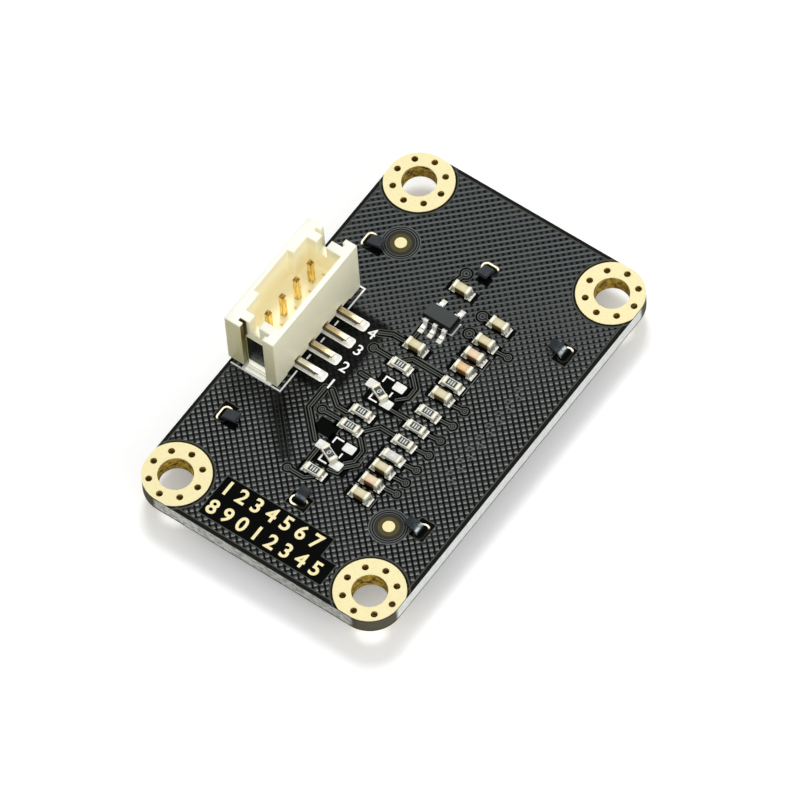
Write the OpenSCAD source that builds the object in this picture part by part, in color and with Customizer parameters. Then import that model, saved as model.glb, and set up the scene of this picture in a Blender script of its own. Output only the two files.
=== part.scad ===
// Small display module: a slim circuit board with a four-way cable header on its
// component side and a glass display panel held under it by a folded metal bezel.
// Origin: centre of the mounting hole pattern on the board's component face.
// X runs across the board, Y along it, and Z points up towards the header.

/* [Mounting holes] */
// Distance between hole centres across the board
hole_pitch_x = 20; // [19:0.5:26]
// Distance between hole centres along the board
hole_pitch_y = 35; // [34.8:0.2:42]
// Finished diameter of each plated hole
hole_d = 3.1; // [2.7:0.1:3.5]
// Outer diameter of the gold ring round each hole
ring_d = 6.2; // [5.6:0.1:6.4]
// Number of small vias in each ring
via_count = 8; // [4:1:10]
// Diameter of the circle that the vias lie on
via_circle_d = 4.57; // [4.4:0.01:4.8]
// Diameter of each via
via_d = 0.6; // [0.3:0.05:0.65]

/* [Circuit board] */
// Distance from a hole centre to the nearest board edge
edge_margin = 2.9; // [2.5:0.1:4]
// Thickness of the board
board_t = 1.6; // [1.2:0.1:2]
// Thickness of the copper plating and of every land
copper_t = 0.05; // [0.03:0.01:0.08]
// Thickness of the printed white lines
print_t = 0.02; // [0.01:0.005:0.04]
// Width of the printed white lines
print_w = 0.15; // [0.1:0.01:0.2]
// Diameter of the two round alignment marks
mark_d = 1.07; // [0.8:0.01:1.5]

/* [Display panel] */
// Width of the front glass across the board
glass_w = 19.26; // [18.6:0.02:19.6]
// Length of the front glass along the board
glass_l = 26.7; // [24:0.1:27]
// Thickness of the front glass
front_glass_t = 0.7; // [0.4:0.05:1.1]
// Thickness of the rear glass
rear_glass_t = 0.6; // [0.4:0.05:1.1]
// Width of the bare ledge beside the rear glass
ledge_w = 4.7; // [4.4:0.1:5.5]
// Thickness of the polariser film
polariser_t = 0.2; // [0.1:0.05:0.3]
// Thickness of the foam pad between rear glass and board
foam_t = 0.4; // [0.3:0.05:1]
// Distance of the foam pad from the edge of the rear glass
foam_inset = 1.2; // [0.8:0.1:3]
// Thickness of the driver chip on the ledge
driver_t = 0.3; // [0.2:0.05:0.5]
// Length of the driver chip
driver_l = 11; // [8:0.5:14]
// Width of the driver chip
driver_w = 1; // [0.8:0.1:1.2]

/* [Flex tail] */
// Number of contacts of the flex tail
contact_count = 15; // [10:1:20]
// Spacing of the contacts
contact_pitch = 0.65; // [0.5:0.05:0.8]
// Thickness of the flex tail
flex_t = 0.1; // [0.06:0.01:0.14]
// Length of the flex tail on the ledge and on the board
flex_run = 1.6; // [1.2:0.1:1.9]

/* [Bezel] */
// Distance of the display panel's middle from the board's, across the board
panel_x = 0.09; // [-0.1:0.01:0.1]
// Distance of the display panel's middle from the board's, along the board
panel_y = -0.08; // [-0.2:0.01:0.2]
// Thickness of the bezel's sheet metal
sheet_t = 0.3; // [0.2:0.05:0.35]
// Clearance between the glass and the long walls, with room for the folded flex
side_gap = 0.29; // [0.26:0.01:0.5]
// Clearance between the glass and the short walls
end_gap = 0.18; // [0.1:0.01:0.4]
// Inner radius of the bezel's folds
fold_r = 0.15; // [0.1:0.05:0.3]
// Open length at each corner of the bezel
corner_gap = 1.4; // [1.1:0.1:2.5]
// Width of the window across the board
window_w = 12.9; // [11:0.1:13.4]
// Length of the window along the board
window_l = 23.8; // [20:0.1:24.2]
// Distance of the window's centre line from the board's centre line
window_shift = 2.1; // [1.8:0.05:2.3]

/* [Bent prongs] */
// Width of each prong
prong_w = 0.95; // [0.6:0.05:1.05]
// Height at which a prong starts to bend, above the board
prong_rise = 0.05; // [0.05:0.05:0.4]
// Inner radius of the bend in each prong
prong_r = 0.25; // [0.1:0.05:0.3]
// Angle through which each prong is bent
prong_bend = 75; // [60:1:84]
// Length of the bent-over part of the four side prongs
prong_reach = 1.1; // [0.8:0.05:1.4]
// Length of the bent-over part of the two end prongs
end_prong_reach = 0.85; // [0.6:0.05:1.2]
// Distance of the four side prongs from the middle of the board
prong_y = 10.4; // [8.5:0.1:11]
// Width of the plated slots
slot_w = 0.7; // [0.66:0.01:0.9]
// Length of the plated slots
slot_l = 1.35; // [1.25:0.05:1.8]
// Width of the gold rim round each slot
slot_rim = 0.16; // [0.08:0.01:0.2]
// Distance of the slot centres outside the middle of the bezel's walls
slot_shift = 0.1; // [0:0.01:0.12]

/* [Header housing] */
// Distance that the housing stands out past the board's edge
header_overhang = 0.1; // [0:0.05:0.4]
// Distance of the header's middle from the middle of the board
header_y = 0.12; // [-1:0.02:1]
// Depth of the housing across the board
header_depth = 5.05; // [4.8:0.05:5.6]
// Height of the housing's rim above the board
header_h = 6.6; // [6:0.1:8]
// Length from the last pin to the end of the housing
header_end = 3; // [2.9:0.05:4]
// Height of the housing's underside
header_clear = 0.3; // [0.2:0.05:0.4]
// Height of the underside of the two back posts
post_clear = 0.5; // [0.4:0.05:1]
// Height of the socket's floor
floor_h = 2.6; // [1.6:0.1:3]
// Thickness of the front wall
front_wall = 0.5; // [0.4:0.05:0.7]
// Thickness of the back wall
back_wall = 0.45; // [0.3:0.05:0.7]
// Distance that the keying blocks stand out from the back wall
key_block = 0.6; // [0.3:0.05:0.8]
// Length of each keying block
key_block_l = 1.95; // [1.2:0.05:2.4]
// Thickness of the end walls
end_wall = 0.87; // [0.7:0.01:1.1]
// Depth of the recess in each end
end_recess = 0.78; // [0.7:0.01:0.9]
// Width of the back posts
back_post = 1.6; // [1.2:0.05:1.8]
// Width of the front posts
front_post = 1.15; // [0.9:0.05:1.4]
// Depth of the grooves beside each end recess
groove_d = 0.3; // [0.1:0.05:0.5]
// Height of the shelf in each end recess
shelf_h = 4.55; // [3.5:0.05:4.8]
// Thickness of the shelf in each end recess
shelf_t = 0.22; // [0.15:0.01:0.3]
// Width of the notch in each end wall
notch_w = 1; // [0.6:0.05:1.4]
// Depth of the notch in each end wall
notch_d = 1.6; // [0.8:0.1:1.9]
// Length of the foot under each end of the front wall
foot_l = 1.5; // [1:0.05:1.8]

/* [Header pins and tabs] */
// Spacing of the pins
pin_pitch = 2; // [1.8:0.05:2.2]
// Thickness of the square pin wire
pin_t = 0.46; // [0.4:0.02:0.6]
// Distance of the pins from the housing's back face
pin_inset = 2.3; // [2:0.05:2.6]
// Height of the pin tips
pin_h = 5.75; // [5:0.05:6]
// Length of the pointed pin tip
pin_point = 0.35; // [0.2:0.05:0.6]
// Length of the legs in front of the housing
leg_l = 2.2; // [1.6:0.1:2.8]
// Width of the channel above each leg
leg_channel = 0.85; // [0.7:0.05:1.1]
// Thickness of the metal hold-down tabs
tab_t = 0.2; // [0.15:0.01:0.25]
// Width of the metal hold-down tabs
tab_w = 2; // [1.6:0.1:2.1]
// Height of the top of the hold-down tabs
tab_h = 4.4; // [3.2:0.1:4.5]

/* [Chips] */
// Length of a chip capacitor or resistor
chip_l = 1.6; // [1.4:0.05:1.8]
// Width of a chip capacitor or resistor
chip_w = 0.8; // [0.7:0.02:0.9]
// Height of a chip capacitor
capacitor_h = 0.8; // [0.5:0.05:0.9]
// Height of a chip resistor
resistor_h = 0.45; // [0.35:0.01:0.55]
// Length of the metal ends of a chip
terminal_l = 0.3; // [0.2:0.02:0.4]
// Thickness of the metal on a chip's ends
terminal_t = 0.03; // [0.02:0.005:0.04]
// Distance that each solder land reaches past a chip's end
land_reach = 0.3; // [0.2:0.02:0.34]
// Distance between the two columns of lands in a jumper group
jumper_span_x = 2.09; // [1.95:0.01:2.25]
// Distance from the middle land to the lands beside it, along the board
jumper_span_y = 0.95; // [0.85:0.01:1.1]
// Distance between the two groups of jumper lands
jumper_pitch = 7.2; // [7:0.1:7.4]

/* [Regulator] */
// Width of the regulator's body
regulator_w = 2.9; // [2.6:0.05:3]
// Depth of the regulator's body
regulator_d = 1.5; // [1.4:0.05:1.7]
// Height of the regulator
regulator_h = 1.15; // [0.9:0.05:1.4]
// Spacing of the regulator's leads
lead_pitch = 0.95; // [0.9:0.01:1]
// Width of the regulator's leads
lead_w = 0.4; // [0.3:0.02:0.5]
// Thickness of the regulator's leads
lead_t = 0.15; // [0.1:0.01:0.2]

/* [Hidden] */
$fn = 48;
NODES = concat(
    ["circuit_board"], numbered("mounting_ring_", 4),
    ["slot_plating", "alignment_marks", "printed_lines"],
    ["display_bezel", "front_glass", "rear_glass", "polariser", "driver_chip"],
    ["flex_tail", "flex_lands", "foam_pad", "header_housing"], numbered("header_pin_", 4),
    numbered("hold_down_tab_", 2), ["header_lands"],
    ["regulator_body", "regulator_leads", "regulator_lands"],
    numbered("capacitor_", 10), numbered("resistor_", 9), numbered("jumper_resistor_", 2),
    ["capacitor_ends", "resistor_ends", "solder_joints", "jumper_lands"]);
node = "all";

// Board
board_w = hole_pitch_x + 2 * edge_margin;
board_l = hole_pitch_y + 2 * edge_margin;
cut = 1; // how far a cutting shape runs past the face it opens
corners = [[-1, 1], [1, 1], [1, -1], [-1, -1]];
mark_spots = [[-7.7, 11.6], [7.7, -11.6]];

// Panel stack, from the board's underside downwards
rear_glass_top = -board_t - foam_t;
front_glass_top = rear_glass_top - rear_glass_t;
film_top = front_glass_top - front_glass_t;
bezel_inside = film_top - polariser_t;
bezel_bottom = bezel_inside - sheet_t;
bezel_top = -board_t - copper_t;
bezel_w = glass_w + 2 * (side_gap + sheet_t);
bezel_l = glass_l + 2 * (end_gap + sheet_t);
film_lap = 0.5; // how far the polariser reaches past the window
glass_corner_r = 0.25;
rear_glass_inset = 0.15;

// Slots: place and turn of each prong, starting at the +X wall
slot_x = (bezel_w - sheet_t) / 2 + slot_shift;
slot_y = (bezel_l - sheet_t) / 2 + slot_shift;
slot_r = 0.32;

// Flex tail
flex_fold_gap = 0.1; // clearance between the folded flex and the bezel's wall
flex_low = front_glass_top + flex_t / 2;
flex_high = -board_t - copper_t - flex_t / 2;
flex_fold_r = (flex_high - flex_low) / 2;
flex_fold_x = bezel_w / 2 - sheet_t - flex_fold_gap - flex_fold_r - flex_t / 2;
flex_border = 0.4; // bare film beside the first and last contact
flex_y = -0.25;
contact_w = 0.35;

// Header
pin_count = 4;
header_back = -board_w / 2 - header_overhang;
header_front = header_back + header_depth;
header_half = (pin_count - 1) * pin_pitch / 2 + header_end;
end_wall_out = header_half - end_recess;
socket_half = end_wall_out - end_wall;
recess_x = (back_post + header_depth - front_post) / 2;
recess_w = header_depth - back_post - front_post;
back_groove = 0.5; // how far the groove undercuts the back post
front_groove = 0.23; // how far the groove undercuts the front post
leg_clear = 0.35; // clearance above the legs
fit_gap = 0.02; // clearance round the hold-down tabs
pin_bend_r = pin_t / 2 + 0.1;
tab_bend_r = tab_t / 2 + 0.15;
land_w = 1.05;
land_heel = 1;
land_toe = 0.67;
land_r = 0.28;
leg_solder = [0.85, 0.86]; // length and width of the solder round the end of a leg
leg_solder_out = 0.1; // distance of the solder's middle past the end of the leg
leg_solder_top = 0.55; // share of the solder's length and width left at its top
tab_land = [3.05, 1.65];
tab_land_x = 0.2; // distance of the tab's land from the middle of the tab
tab_land_out = 0.25; // distance that the tab's land shows past the housing
outline_y = 0.06; // middle of the printed header outline
outline_gap = 0.41; // distance of the outline from the housing
outline_end_gap = 0.1;
tab_land_mid = header_back + recess_x + tab_land_x;

// Chips
capacitor_column = [9.4, 7.35, 5.75, 4.2, 1.05, -7.5, -9.05, -10.6];
resistor_column = [2.5, -0.9, -2.65, -4.4, -6.05];
column_x = 4.1;
middle_x = -0.55;
capacitor_spots = concat([[middle_x, 10.55], [middle_x, 3.78]], [for (y = capacitor_column) [column_x, y]]);
resistor_spots = concat([for (y = [1.6, -3.97, -5.65, -10.8]) [middle_x, y]],
    [for (y = resistor_column) [column_x, y]]);
jumper_x = -0.45;
jumper_rows = [-1.1, -1.1 - jumper_pitch];
jumper_land = [1.1, 0.85];
jumper_land_r = 0.14;
jumper_spots = [for (y = jumper_rows) [jumper_x, y - jumper_span_y / 2]];
jumper_angle = -atan2(jumper_span_y, jumper_span_x);
solder_rise = 0.6; // share of a chip's height that the solder climbs
solder_side = 0.06; // how far the solder stands out beside a chip

// Regulator
regulator_spot = [-0.27, 7.15];
regulator_base = copper_t + 0.05;
regulator_band = lead_t; // height of the straight band between the drafted halves
regulator_draft = 0.09; // how far each drafted half leans in
lead_foot = 0.3;
lead_bend_r = lead_t / 2 + 0.06;
lead_run = 0.12;
regulator_land = [0.5, 0.8];
regulator_land_out = 0.37; // distance of the lands' middle from the root of a foot

function numbered(name, count) = [for (i = [1:count]) str(name, i)];
function shown(name) = node == "all" || node == name;

// Unit vector along an angle, and the one to the left of it
function along(angle) = [cos(angle), sin(angle)];
function left_of(angle) = [-sin(angle), cos(angle)];

// One side of a bent strip. Each step is a straight length, a turn and the turn's radius.
function strip_side(from, angle, steps, offset, i = 0) =
    i == len(steps) ? [from + offset * left_of(angle)] :
    let (
        run = steps[i][0], turn = steps[i][1], r = steps[i][2], hand = sign(turn),
        to = from + run * along(angle),
        centre = to + hand * r * left_of(angle),
        parts = turn == 0 ? 0 : ceil(abs(turn) / 12)
    )
    concat(
        i == 0 ? [from + offset * left_of(angle)] : [],
        parts == 0 ? [] : [for (k = [0:parts - 1])
            centre - hand * (r - hand * offset) * left_of(angle + turn * k / parts)],
        strip_side(turn == 0 ? to : centre - hand * r * left_of(angle + turn),
            angle + turn, steps, offset, i + 1));

// A strip of constant thickness, bent in the XZ plane and centred on y = 0
module bent_strip(from, angle, steps, thickness, width) {
    near = strip_side(from, angle, steps, thickness / 2);
    far = strip_side(from, angle, steps, -thickness / 2);
    rotate([90, 0, 0])
        linear_extrude(width, center = true)
            polygon(concat(near, [for (i = [len(far) - 1:-1:0]) far[i]]));
}

module rounded_rect(w, l, r) {
    square([w - 2 * r, l], center = true);
    square([w, l - 2 * r], center = true);
    for (c = corners)
        translate([c[0] * (w / 2 - r), c[1] * (l / 2 - r)])
            circle(r);
}

module at_holes() {
    for (c = corners)
        translate([c[0] * hole_pitch_x / 2, c[1] * hole_pitch_y / 2])
            children();
}

// Moves a child from the middle of the board to the middle of the display panel
module at_panel() {
    translate([panel_x, panel_y, 0])
        children();
}

// Places a child, drawn at the slot on the +X wall, at each of the six slots
module at_slots(x, y) {
    for (c = corners)
        translate([c[0] * x, c[1] * prong_y, 0])
            rotate(c[0] > 0 ? 0 : 180)
                children();
    for (turn = [90, 270])
        rotate(turn)
            translate([y, 0, 0])
                children();
}

module slot_shape(grow = 0) {
    rounded_rect(slot_w + 2 * grow, slot_l + 2 * grow, slot_r + grow);
}

module via_shapes(grow = 0) {
    for (i = [0:via_count - 1])
        rotate(i * 360 / via_count)
            translate([via_circle_d / 2, 0])
                circle(d = via_d + 2 * grow);
}

module board_outline() {
    rounded_rect(board_w, board_l, edge_margin);
}

module circuit_board() {
    color([0.09, 0.09, 0.09])
        translate([0, 0, -board_t])
            linear_extrude(board_t)
                difference() {
                    board_outline();
                    at_holes() {
                        circle(d = hole_d + 2 * copper_t);
                        via_shapes(copper_t);
                    }
                    at_panel()
                        at_slots(slot_x, slot_y)
                            slot_shape(copper_t);
                }
}

// Gold plating of one mounting hole: a ring on each face of the board, joined by the
// barrel of the hole and by those of the vias
module mounting_ring(i) {
    spot = [corners[i - 1][0] * hole_pitch_x / 2, corners[i - 1][1] * hole_pitch_y / 2];
    color("gold") {
        for (z = [0, -board_t - copper_t])
            translate([0, 0, z])
                linear_extrude(copper_t)
                    difference() {
                        intersection() {
                            board_outline();
                            translate(spot)
                                circle(d = ring_d);
                        }
                        translate(spot) {
                            circle(d = hole_d);
                            via_shapes();
                        }
                    }
        translate([spot[0], spot[1], -board_t])
            linear_extrude(board_t)
                difference() {
                    union() {
                        circle(d = hole_d + 2 * copper_t);
                        via_shapes(copper_t);
                    }
                    circle(d = hole_d);
                    via_shapes();
                }
    }
}

module slot_plating() {
    color("gold")
        at_panel()
            at_slots(slot_x, slot_y) {
                for (z = [0, -board_t - copper_t])
                    translate([0, 0, z])
                        linear_extrude(copper_t)
                            difference() {
                                slot_shape(slot_rim);
                                slot_shape();
                            }
                translate([0, 0, -board_t])
                    linear_extrude(board_t)
                        difference() {
                            slot_shape(copper_t);
                            slot_shape();
                        }
            }
}

module alignment_marks() {
    color("gold")
        for (spot = mark_spots)
            translate(spot)
                cylinder(d = mark_d, h = copper_t);
}

// A straight printed line between two points, with square ends
module print_line(from, to) {
    low = [min(from[0], to[0]), min(from[1], to[1])];
    high = [max(from[0], to[0]), max(from[1], to[1])];
    translate([low[0] - print_w / 2, low[1] - print_w / 2, 0])
        cube([high[0] - low[0] + print_w, high[1] - low[1] + print_w, print_t]);
}

module header_print() {
    x = header_front + outline_gap;
    end = header_half + outline_end_gap;
    dash = pin_pitch - land_w - 0.55;
    for (i = [0:pin_count - 2])
        translate([0, (i - (pin_count - 2) / 2) * pin_pitch, 0])
            print_line([x, -dash / 2], [x, dash / 2]);
    for (s = [-1, 1]) {
        print_line([x, s * ((pin_count - 1) * pin_pitch / 2 + land_w / 2 + 0.2)], [x, s * end]);
        for (side = [[x, 1], [header_back + 0.4, -1]])
            print_line([side[0], s * end],
                [tab_land_mid + side[1] * (tab_land[0] / 2 + 0.12), s * end]);
    }
}

module jumper_print() {
    left = jumper_x - 0.5;
    reach = jumper_span_y + 0.33;
    for (s = [-1, 1]) {
        print_line([left, s * reach], [left, s * (reach - 0.55)]);
        print_line([left, s * reach], [left + 0.7, s * reach]);
    }
    print_line([jumper_x + 0.83, -0.2], [jumper_x + 0.83, 0.2]);
}

module regulator_print() {
    x = regulator_w / 2 + 0.03;
    y = regulator_d / 2 - 0.13;
    for (s = [-1, 1])
        print_line([s * x, -y], [s * x, y]);
    print_line([-x, -y], [x, -y]);
}

module printed_lines() {
    color("white") {
        translate([0, outline_y, 0])
            header_print();
        for (y = jumper_rows)
            translate([0, y, 0])
                jumper_print();
        translate(regulator_spot)
            regulator_print();
    }
}

// One wall of the bezel with its flange, for a wall that faces +X
module bezel_wall(width, length) {
    inner = width / 2 - sheet_t - fold_r;
    bent_strip([inner - cut, bezel_bottom + sheet_t / 2], 0,
        [[cut, 90, fold_r + sheet_t / 2], [bezel_top - bezel_bottom - sheet_t - fold_r, 0, 0]],
        sheet_t, length - 2 * corner_gap);
}

// A prong that rises from the wall that faces +X and is bent inwards over the board
module prong(width, reach) {
    bent_strip([(width - sheet_t) / 2, bezel_top - cut], 90,
        [[prong_rise - bezel_top + cut, prong_bend, prong_r + sheet_t / 2], [reach, 0, 0]],
        sheet_t, prong_w);
}

module display_bezel() {
    plate = [bezel_w - 2 * (sheet_t + fold_r), bezel_l - 2 * (sheet_t + fold_r)];
    color([0.12, 0.12, 0.13])
        difference() {
            union() {
                translate([0, 0, bezel_bottom])
                    linear_extrude(sheet_t)
                        rounded_rect(plate[0], plate[1], 0.5);
                for (turn = [0, 180])
                    rotate(turn) {
                        bezel_wall(bezel_w, bezel_l);
                        for (s = [-1, 1])
                            translate([0, s * prong_y, 0])
                                prong(bezel_w, prong_reach);
                    }
                for (turn = [90, 270])
                    rotate(turn) {
                        bezel_wall(bezel_l, bezel_w);
                        prong(bezel_l, end_prong_reach);
                    }
            }
            translate([-window_shift, 0, bezel_bottom - cut])
                linear_extrude(sheet_t + 2 * cut)
                    rounded_rect(window_w, window_l, 0.6);
        }
}

module front_glass() {
    color([0.35, 0.42, 0.45])
        translate([0, 0, film_top])
            linear_extrude(front_glass_t)
                rounded_rect(glass_w, glass_l, glass_corner_r);
}

// Width and middle of the rear glass, which leaves the ledge bare
rear_w = glass_w - ledge_w - rear_glass_inset;
rear_x = (rear_glass_inset - ledge_w) / 2;

module rear_glass() {
    color([0.3, 0.36, 0.38])
        translate([rear_x, 0, front_glass_top])
            linear_extrude(rear_glass_t)
                rounded_rect(rear_w, glass_l - 2 * rear_glass_inset, glass_corner_r);
}

module polariser() {
    color([0.05, 0.05, 0.07])
        translate([-window_shift, 0, bezel_inside])
            linear_extrude(polariser_t)
                rounded_rect(window_w + 2 * film_lap, window_l + 2 * film_lap, glass_corner_r);
}

module foam_pad() {
    color([0.2, 0.2, 0.2])
        translate([rear_x, 0, rear_glass_top])
            linear_extrude(foam_t)
                square([rear_w - 2 * foam_inset, glass_l - 2 * foam_inset - 2 * rear_glass_inset],
                    center = true);
}

// The driver chip lies midway between the rear glass and the flex tail
module driver_chip() {
    x = (rear_x + rear_w / 2 + flex_fold_x - flex_run) / 2;
    color([0.25, 0.25, 0.28])
        translate([x, 0, front_glass_top + driver_t / 2])
            cube([driver_w, driver_l, driver_t], center = true);
}

module flex_tail() {
    width = (contact_count - 1) * contact_pitch + contact_w + 2 * flex_border;
    color([0.75, 0.45, 0.12])
        translate([0, flex_y, 0])
            bent_strip([flex_fold_x - flex_run, flex_low], 0,
                [[flex_run, 180, flex_fold_r], [flex_run, 0, 0]], flex_t, width);
}

module flex_lands() {
    color("gold")
        for (i = [0:contact_count - 1])
            translate([flex_fold_x - flex_run, flex_y + (i - (contact_count - 1) / 2) * contact_pitch
                - contact_w / 2, -board_t - copper_t])
                cube([flex_run, contact_w, copper_t]);
}

// Cuts made in the end of the housing that faces +Y
module housing_end_cuts() {
    shelf_out = end_wall_out + shelf_t;
    translate([back_post, end_wall_out, shelf_h])
        cube([recess_w, end_recess + cut, header_h]);
    translate([back_post - back_groove, end_wall_out, shelf_h])
        cube([recess_w + back_groove + front_groove, groove_d, header_h]);
    translate([back_post, shelf_out, -cut])
        cube([recess_w, end_recess + cut, header_h]);
    translate([recess_x - tab_w / 2 - fit_gap, end_wall_out, -cut])
        cube([tab_w + 2 * fit_gap, end_recess, tab_h + fit_gap + cut]);
    translate([(header_depth - notch_w) / 2, socket_half - cut, header_h - notch_d])
        cube([notch_w, end_wall + 2 * cut, notch_d + cut]);
    translate([-cut, end_wall_out - cut, -cut])
        cube([back_post + cut, header_end, post_clear + cut]);
}

// Channel under the housing for one leg, and the square hole for its pin
module housing_pin_cuts() {
    translate([pin_inset - pin_t / 2, -leg_channel / 2, -cut])
        cube([header_depth, leg_channel, copper_t + pin_t + leg_clear + cut]);
    translate([pin_inset, 0, 0])
        linear_extrude(header_h)
            square(pin_t, center = true);
}

module housing_block() {
    translate([0, -header_half, header_clear])
        cube([header_depth, 2 * header_half, header_h - header_clear]);
    for (s = [-1, 1])
        translate([header_depth - front_post, s * (header_half - foot_l / 2) - foot_l / 2, copper_t])
            cube([front_post, foot_l, header_clear]);
}

module socket_cut() {
    front = header_depth - front_wall;
    lift = header_h - floor_h + cut;
    translate([back_wall + key_block, -socket_half, floor_h])
        cube([front - back_wall - key_block, 2 * socket_half, lift]);
    translate([back_wall, key_block_l - socket_half, floor_h])
        cube([front - back_wall, 2 * (socket_half - key_block_l), lift]);
}

module header_housing() {
    color([0.93, 0.9, 0.8])
        translate([header_back, header_y, 0])
            difference() {
                housing_block();
                socket_cut();
                housing_end_cuts();
                mirror([0, 1, 0])
                    housing_end_cuts();
                for (i = [0:pin_count - 1])
                    translate([0, (i - (pin_count - 1) / 2) * pin_pitch, 0])
                        housing_pin_cuts();
            }
}

// One square wire pin: a post in the socket, a bend and a leg on its land
module header_pin(i) {
    x = header_back + pin_inset;
    shoulder = pin_h - pin_point;
    color([0.85, 0.65, 0.3])
        translate([0, header_y + (i - (pin_count + 1) / 2) * pin_pitch, 0]) {
            bent_strip([x, shoulder], -90,
                [[shoulder - copper_t - pin_t / 2 - pin_bend_r, 90, pin_bend_r],
                [header_front + leg_l - x - pin_bend_r, 0, 0]], pin_t, pin_t);
            translate([x, 0, shoulder])
                linear_extrude(pin_point, scale = 0.45)
                    square(pin_t, center = true);
        }
}

// Metal plate in the end recess, with a foot bent outwards on its land
module hold_down_tab(i) {
    start = end_wall_out + tab_t / 2;
    color([0.8, 0.8, 0.78])
        translate([header_back + recess_x, header_y, 0])
            rotate(i == 1 ? -90 : 90)
                bent_strip([start, tab_h], -90,
                    [[tab_h - copper_t - tab_t / 2 - tab_bend_r, 90, tab_bend_r],
                    [header_half - start - tab_bend_r, 0, 0]], tab_t, tab_w);
}

// Solder heaped round the end of one leg
module leg_joint() {
    leg_end = header_front + leg_l;
    difference() {
        translate([leg_end + leg_solder_out, 0, copper_t])
            linear_extrude(solder_rise * pin_t, scale = leg_solder_top)
                square(leg_solder, center = true);
        translate([leg_end - leg_l, -pin_t / 2, copper_t])
            cube([leg_l, pin_t, pin_t]);
    }
}

module header_lands() {
    toe = header_front + leg_l + land_toe;
    heel = header_front - land_heel;
    color([0.9, 0.89, 0.85])
        translate([0, header_y, 0]) {
            for (i = [0:pin_count - 1])
                translate([0, (i - (pin_count - 1) / 2) * pin_pitch, 0]) {
                    translate([(toe + heel) / 2, 0, 0])
                        linear_extrude(copper_t)
                            rounded_rect(toe - heel, land_w, land_r);
                    leg_joint();
                }
            for (s = [-1, 1])
                translate([tab_land_mid, s * (header_half + tab_land_out - tab_land[1] / 2), 0])
                    linear_extrude(copper_t)
                        square(tab_land, center = true);
        }
}

// Side view of a drafted block: a straight band between two halves that lean in
function drafted_profile(w, h) = let (low = (h - regulator_band) / 2, high = low + regulator_band)
    [[-w / 2 + regulator_draft, 0], [w / 2 - regulator_draft, 0], [w / 2, low], [w / 2, high],
    [w / 2 - regulator_draft, h], [-w / 2 + regulator_draft, h], [-w / 2, high], [-w / 2, low]];

regulator_body_h = regulator_h - regulator_base;

module regulator_body() {
    color([0.2, 0.2, 0.21])
        translate([regulator_spot[0], regulator_spot[1], regulator_base])
            intersection() {
                rotate([90, 0, 0])
                    linear_extrude(regulator_d, center = true)
                        polygon(drafted_profile(regulator_w, regulator_body_h));
                rotate([90, 0, 90])
                    linear_extrude(regulator_w, center = true)
                        polygon(drafted_profile(regulator_d, regulator_body_h));
            }
}

// Gull-wing lead that leaves the band of the regulator's +X side
module gull_lead() {
    start = regulator_base + regulator_body_h / 2;
    drop = start - copper_t - lead_t / 2;
    bent_strip([regulator_d / 2, start], 0,
        [[lead_run, -80, lead_bend_r],
        [(drop - 2 * lead_bend_r * (1 - cos(80))) / sin(80), 80, lead_bend_r], [lead_foot, 0, 0]],
        lead_t, lead_w);
}

// Three leads towards -Y and two, at the outer places, towards +Y
module at_leads() {
    translate(regulator_spot) {
        for (k = [-1:1])
            translate([k * lead_pitch, 0, 0])
                rotate(-90)
                    children();
        for (k = [-1, 1])
            translate([k * lead_pitch, 0, 0])
                rotate(90)
                    children();
    }
}

module regulator_leads() {
    color([0.8, 0.8, 0.8])
        at_leads()
            gull_lead();
}

module regulator_lands() {
    color([0.9, 0.89, 0.85])
        at_leads()
            translate([regulator_d / 2 + lead_run + lead_bend_r * 2 + regulator_land_out, 0, 0])
                linear_extrude(copper_t)
                    square([regulator_land[1], regulator_land[0]], center = true);
}

// Ceramic of a chip, which fills the metal caps at its ends
module chip_core(h) {
    translate([0, 0, copper_t + h / 2])
        cube([chip_l - 2 * terminal_t, chip_w - 2 * terminal_t, h - 2 * terminal_t], center = true);
}

module chip_caps(h) {
    difference() {
        for (s = [-1, 1])
            translate([s * (chip_l - terminal_l) / 2, 0, copper_t + h / 2])
                cube([terminal_l, chip_w, h], center = true);
        chip_core(h);
    }
}

// Land with the solder that climbs a chip's end in a hollow curve
module chip_joint(h) {
    top = solder_rise * h;
    under = chip_l / 2 - terminal_l;
    curve = [for (a = [0:15:90])
        [chip_l / 2 + land_reach * (1 - cos(a)), copper_t + top * (1 - sin(a))]];
    rotate([90, 0, 0])
        linear_extrude(chip_w + 2 * solder_side, center = true)
            polygon(concat([[under, 0], [under, copper_t], [chip_l / 2, copper_t]],
                curve, [[chip_l / 2 + land_reach, 0]]));
}

module capacitor(i) {
    color([0.78, 0.62, 0.42])
        translate(capacitor_spots[i - 1])
            chip_core(capacitor_h);
}

module resistor(i) {
    color([0.85, 0.85, 0.83])
        translate(resistor_spots[i - 1])
            chip_core(resistor_h);
}

module at_jumpers() {
    for (spot = jumper_spots)
        translate(spot)
            rotate(jumper_angle)
                children();
}

module jumper_resistor(i) {
    color([0.2, 0.2, 0.2])
        translate(jumper_spots[i - 1])
            rotate(jumper_angle)
                chip_core(resistor_h);
}

module capacitor_ends() {
    color([0.85, 0.85, 0.83])
        for (spot = capacitor_spots)
            translate(spot)
                chip_caps(capacitor_h);
}

module resistor_ends() {
    color([0.85, 0.85, 0.83]) {
        for (spot = resistor_spots)
            translate(spot)
                chip_caps(resistor_h);
        at_jumpers()
            chip_caps(resistor_h);
    }
}

module solder_pair(h) {
    for (turn = [0, 180])
        rotate(turn)
            chip_joint(h);
}

module solder_joints() {
    color([0.92, 0.92, 0.9]) {
        for (spot = capacitor_spots)
            translate(spot)
                solder_pair(capacitor_h);
        for (spot = resistor_spots)
            translate(spot)
                solder_pair(resistor_h);
    }
}

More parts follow.
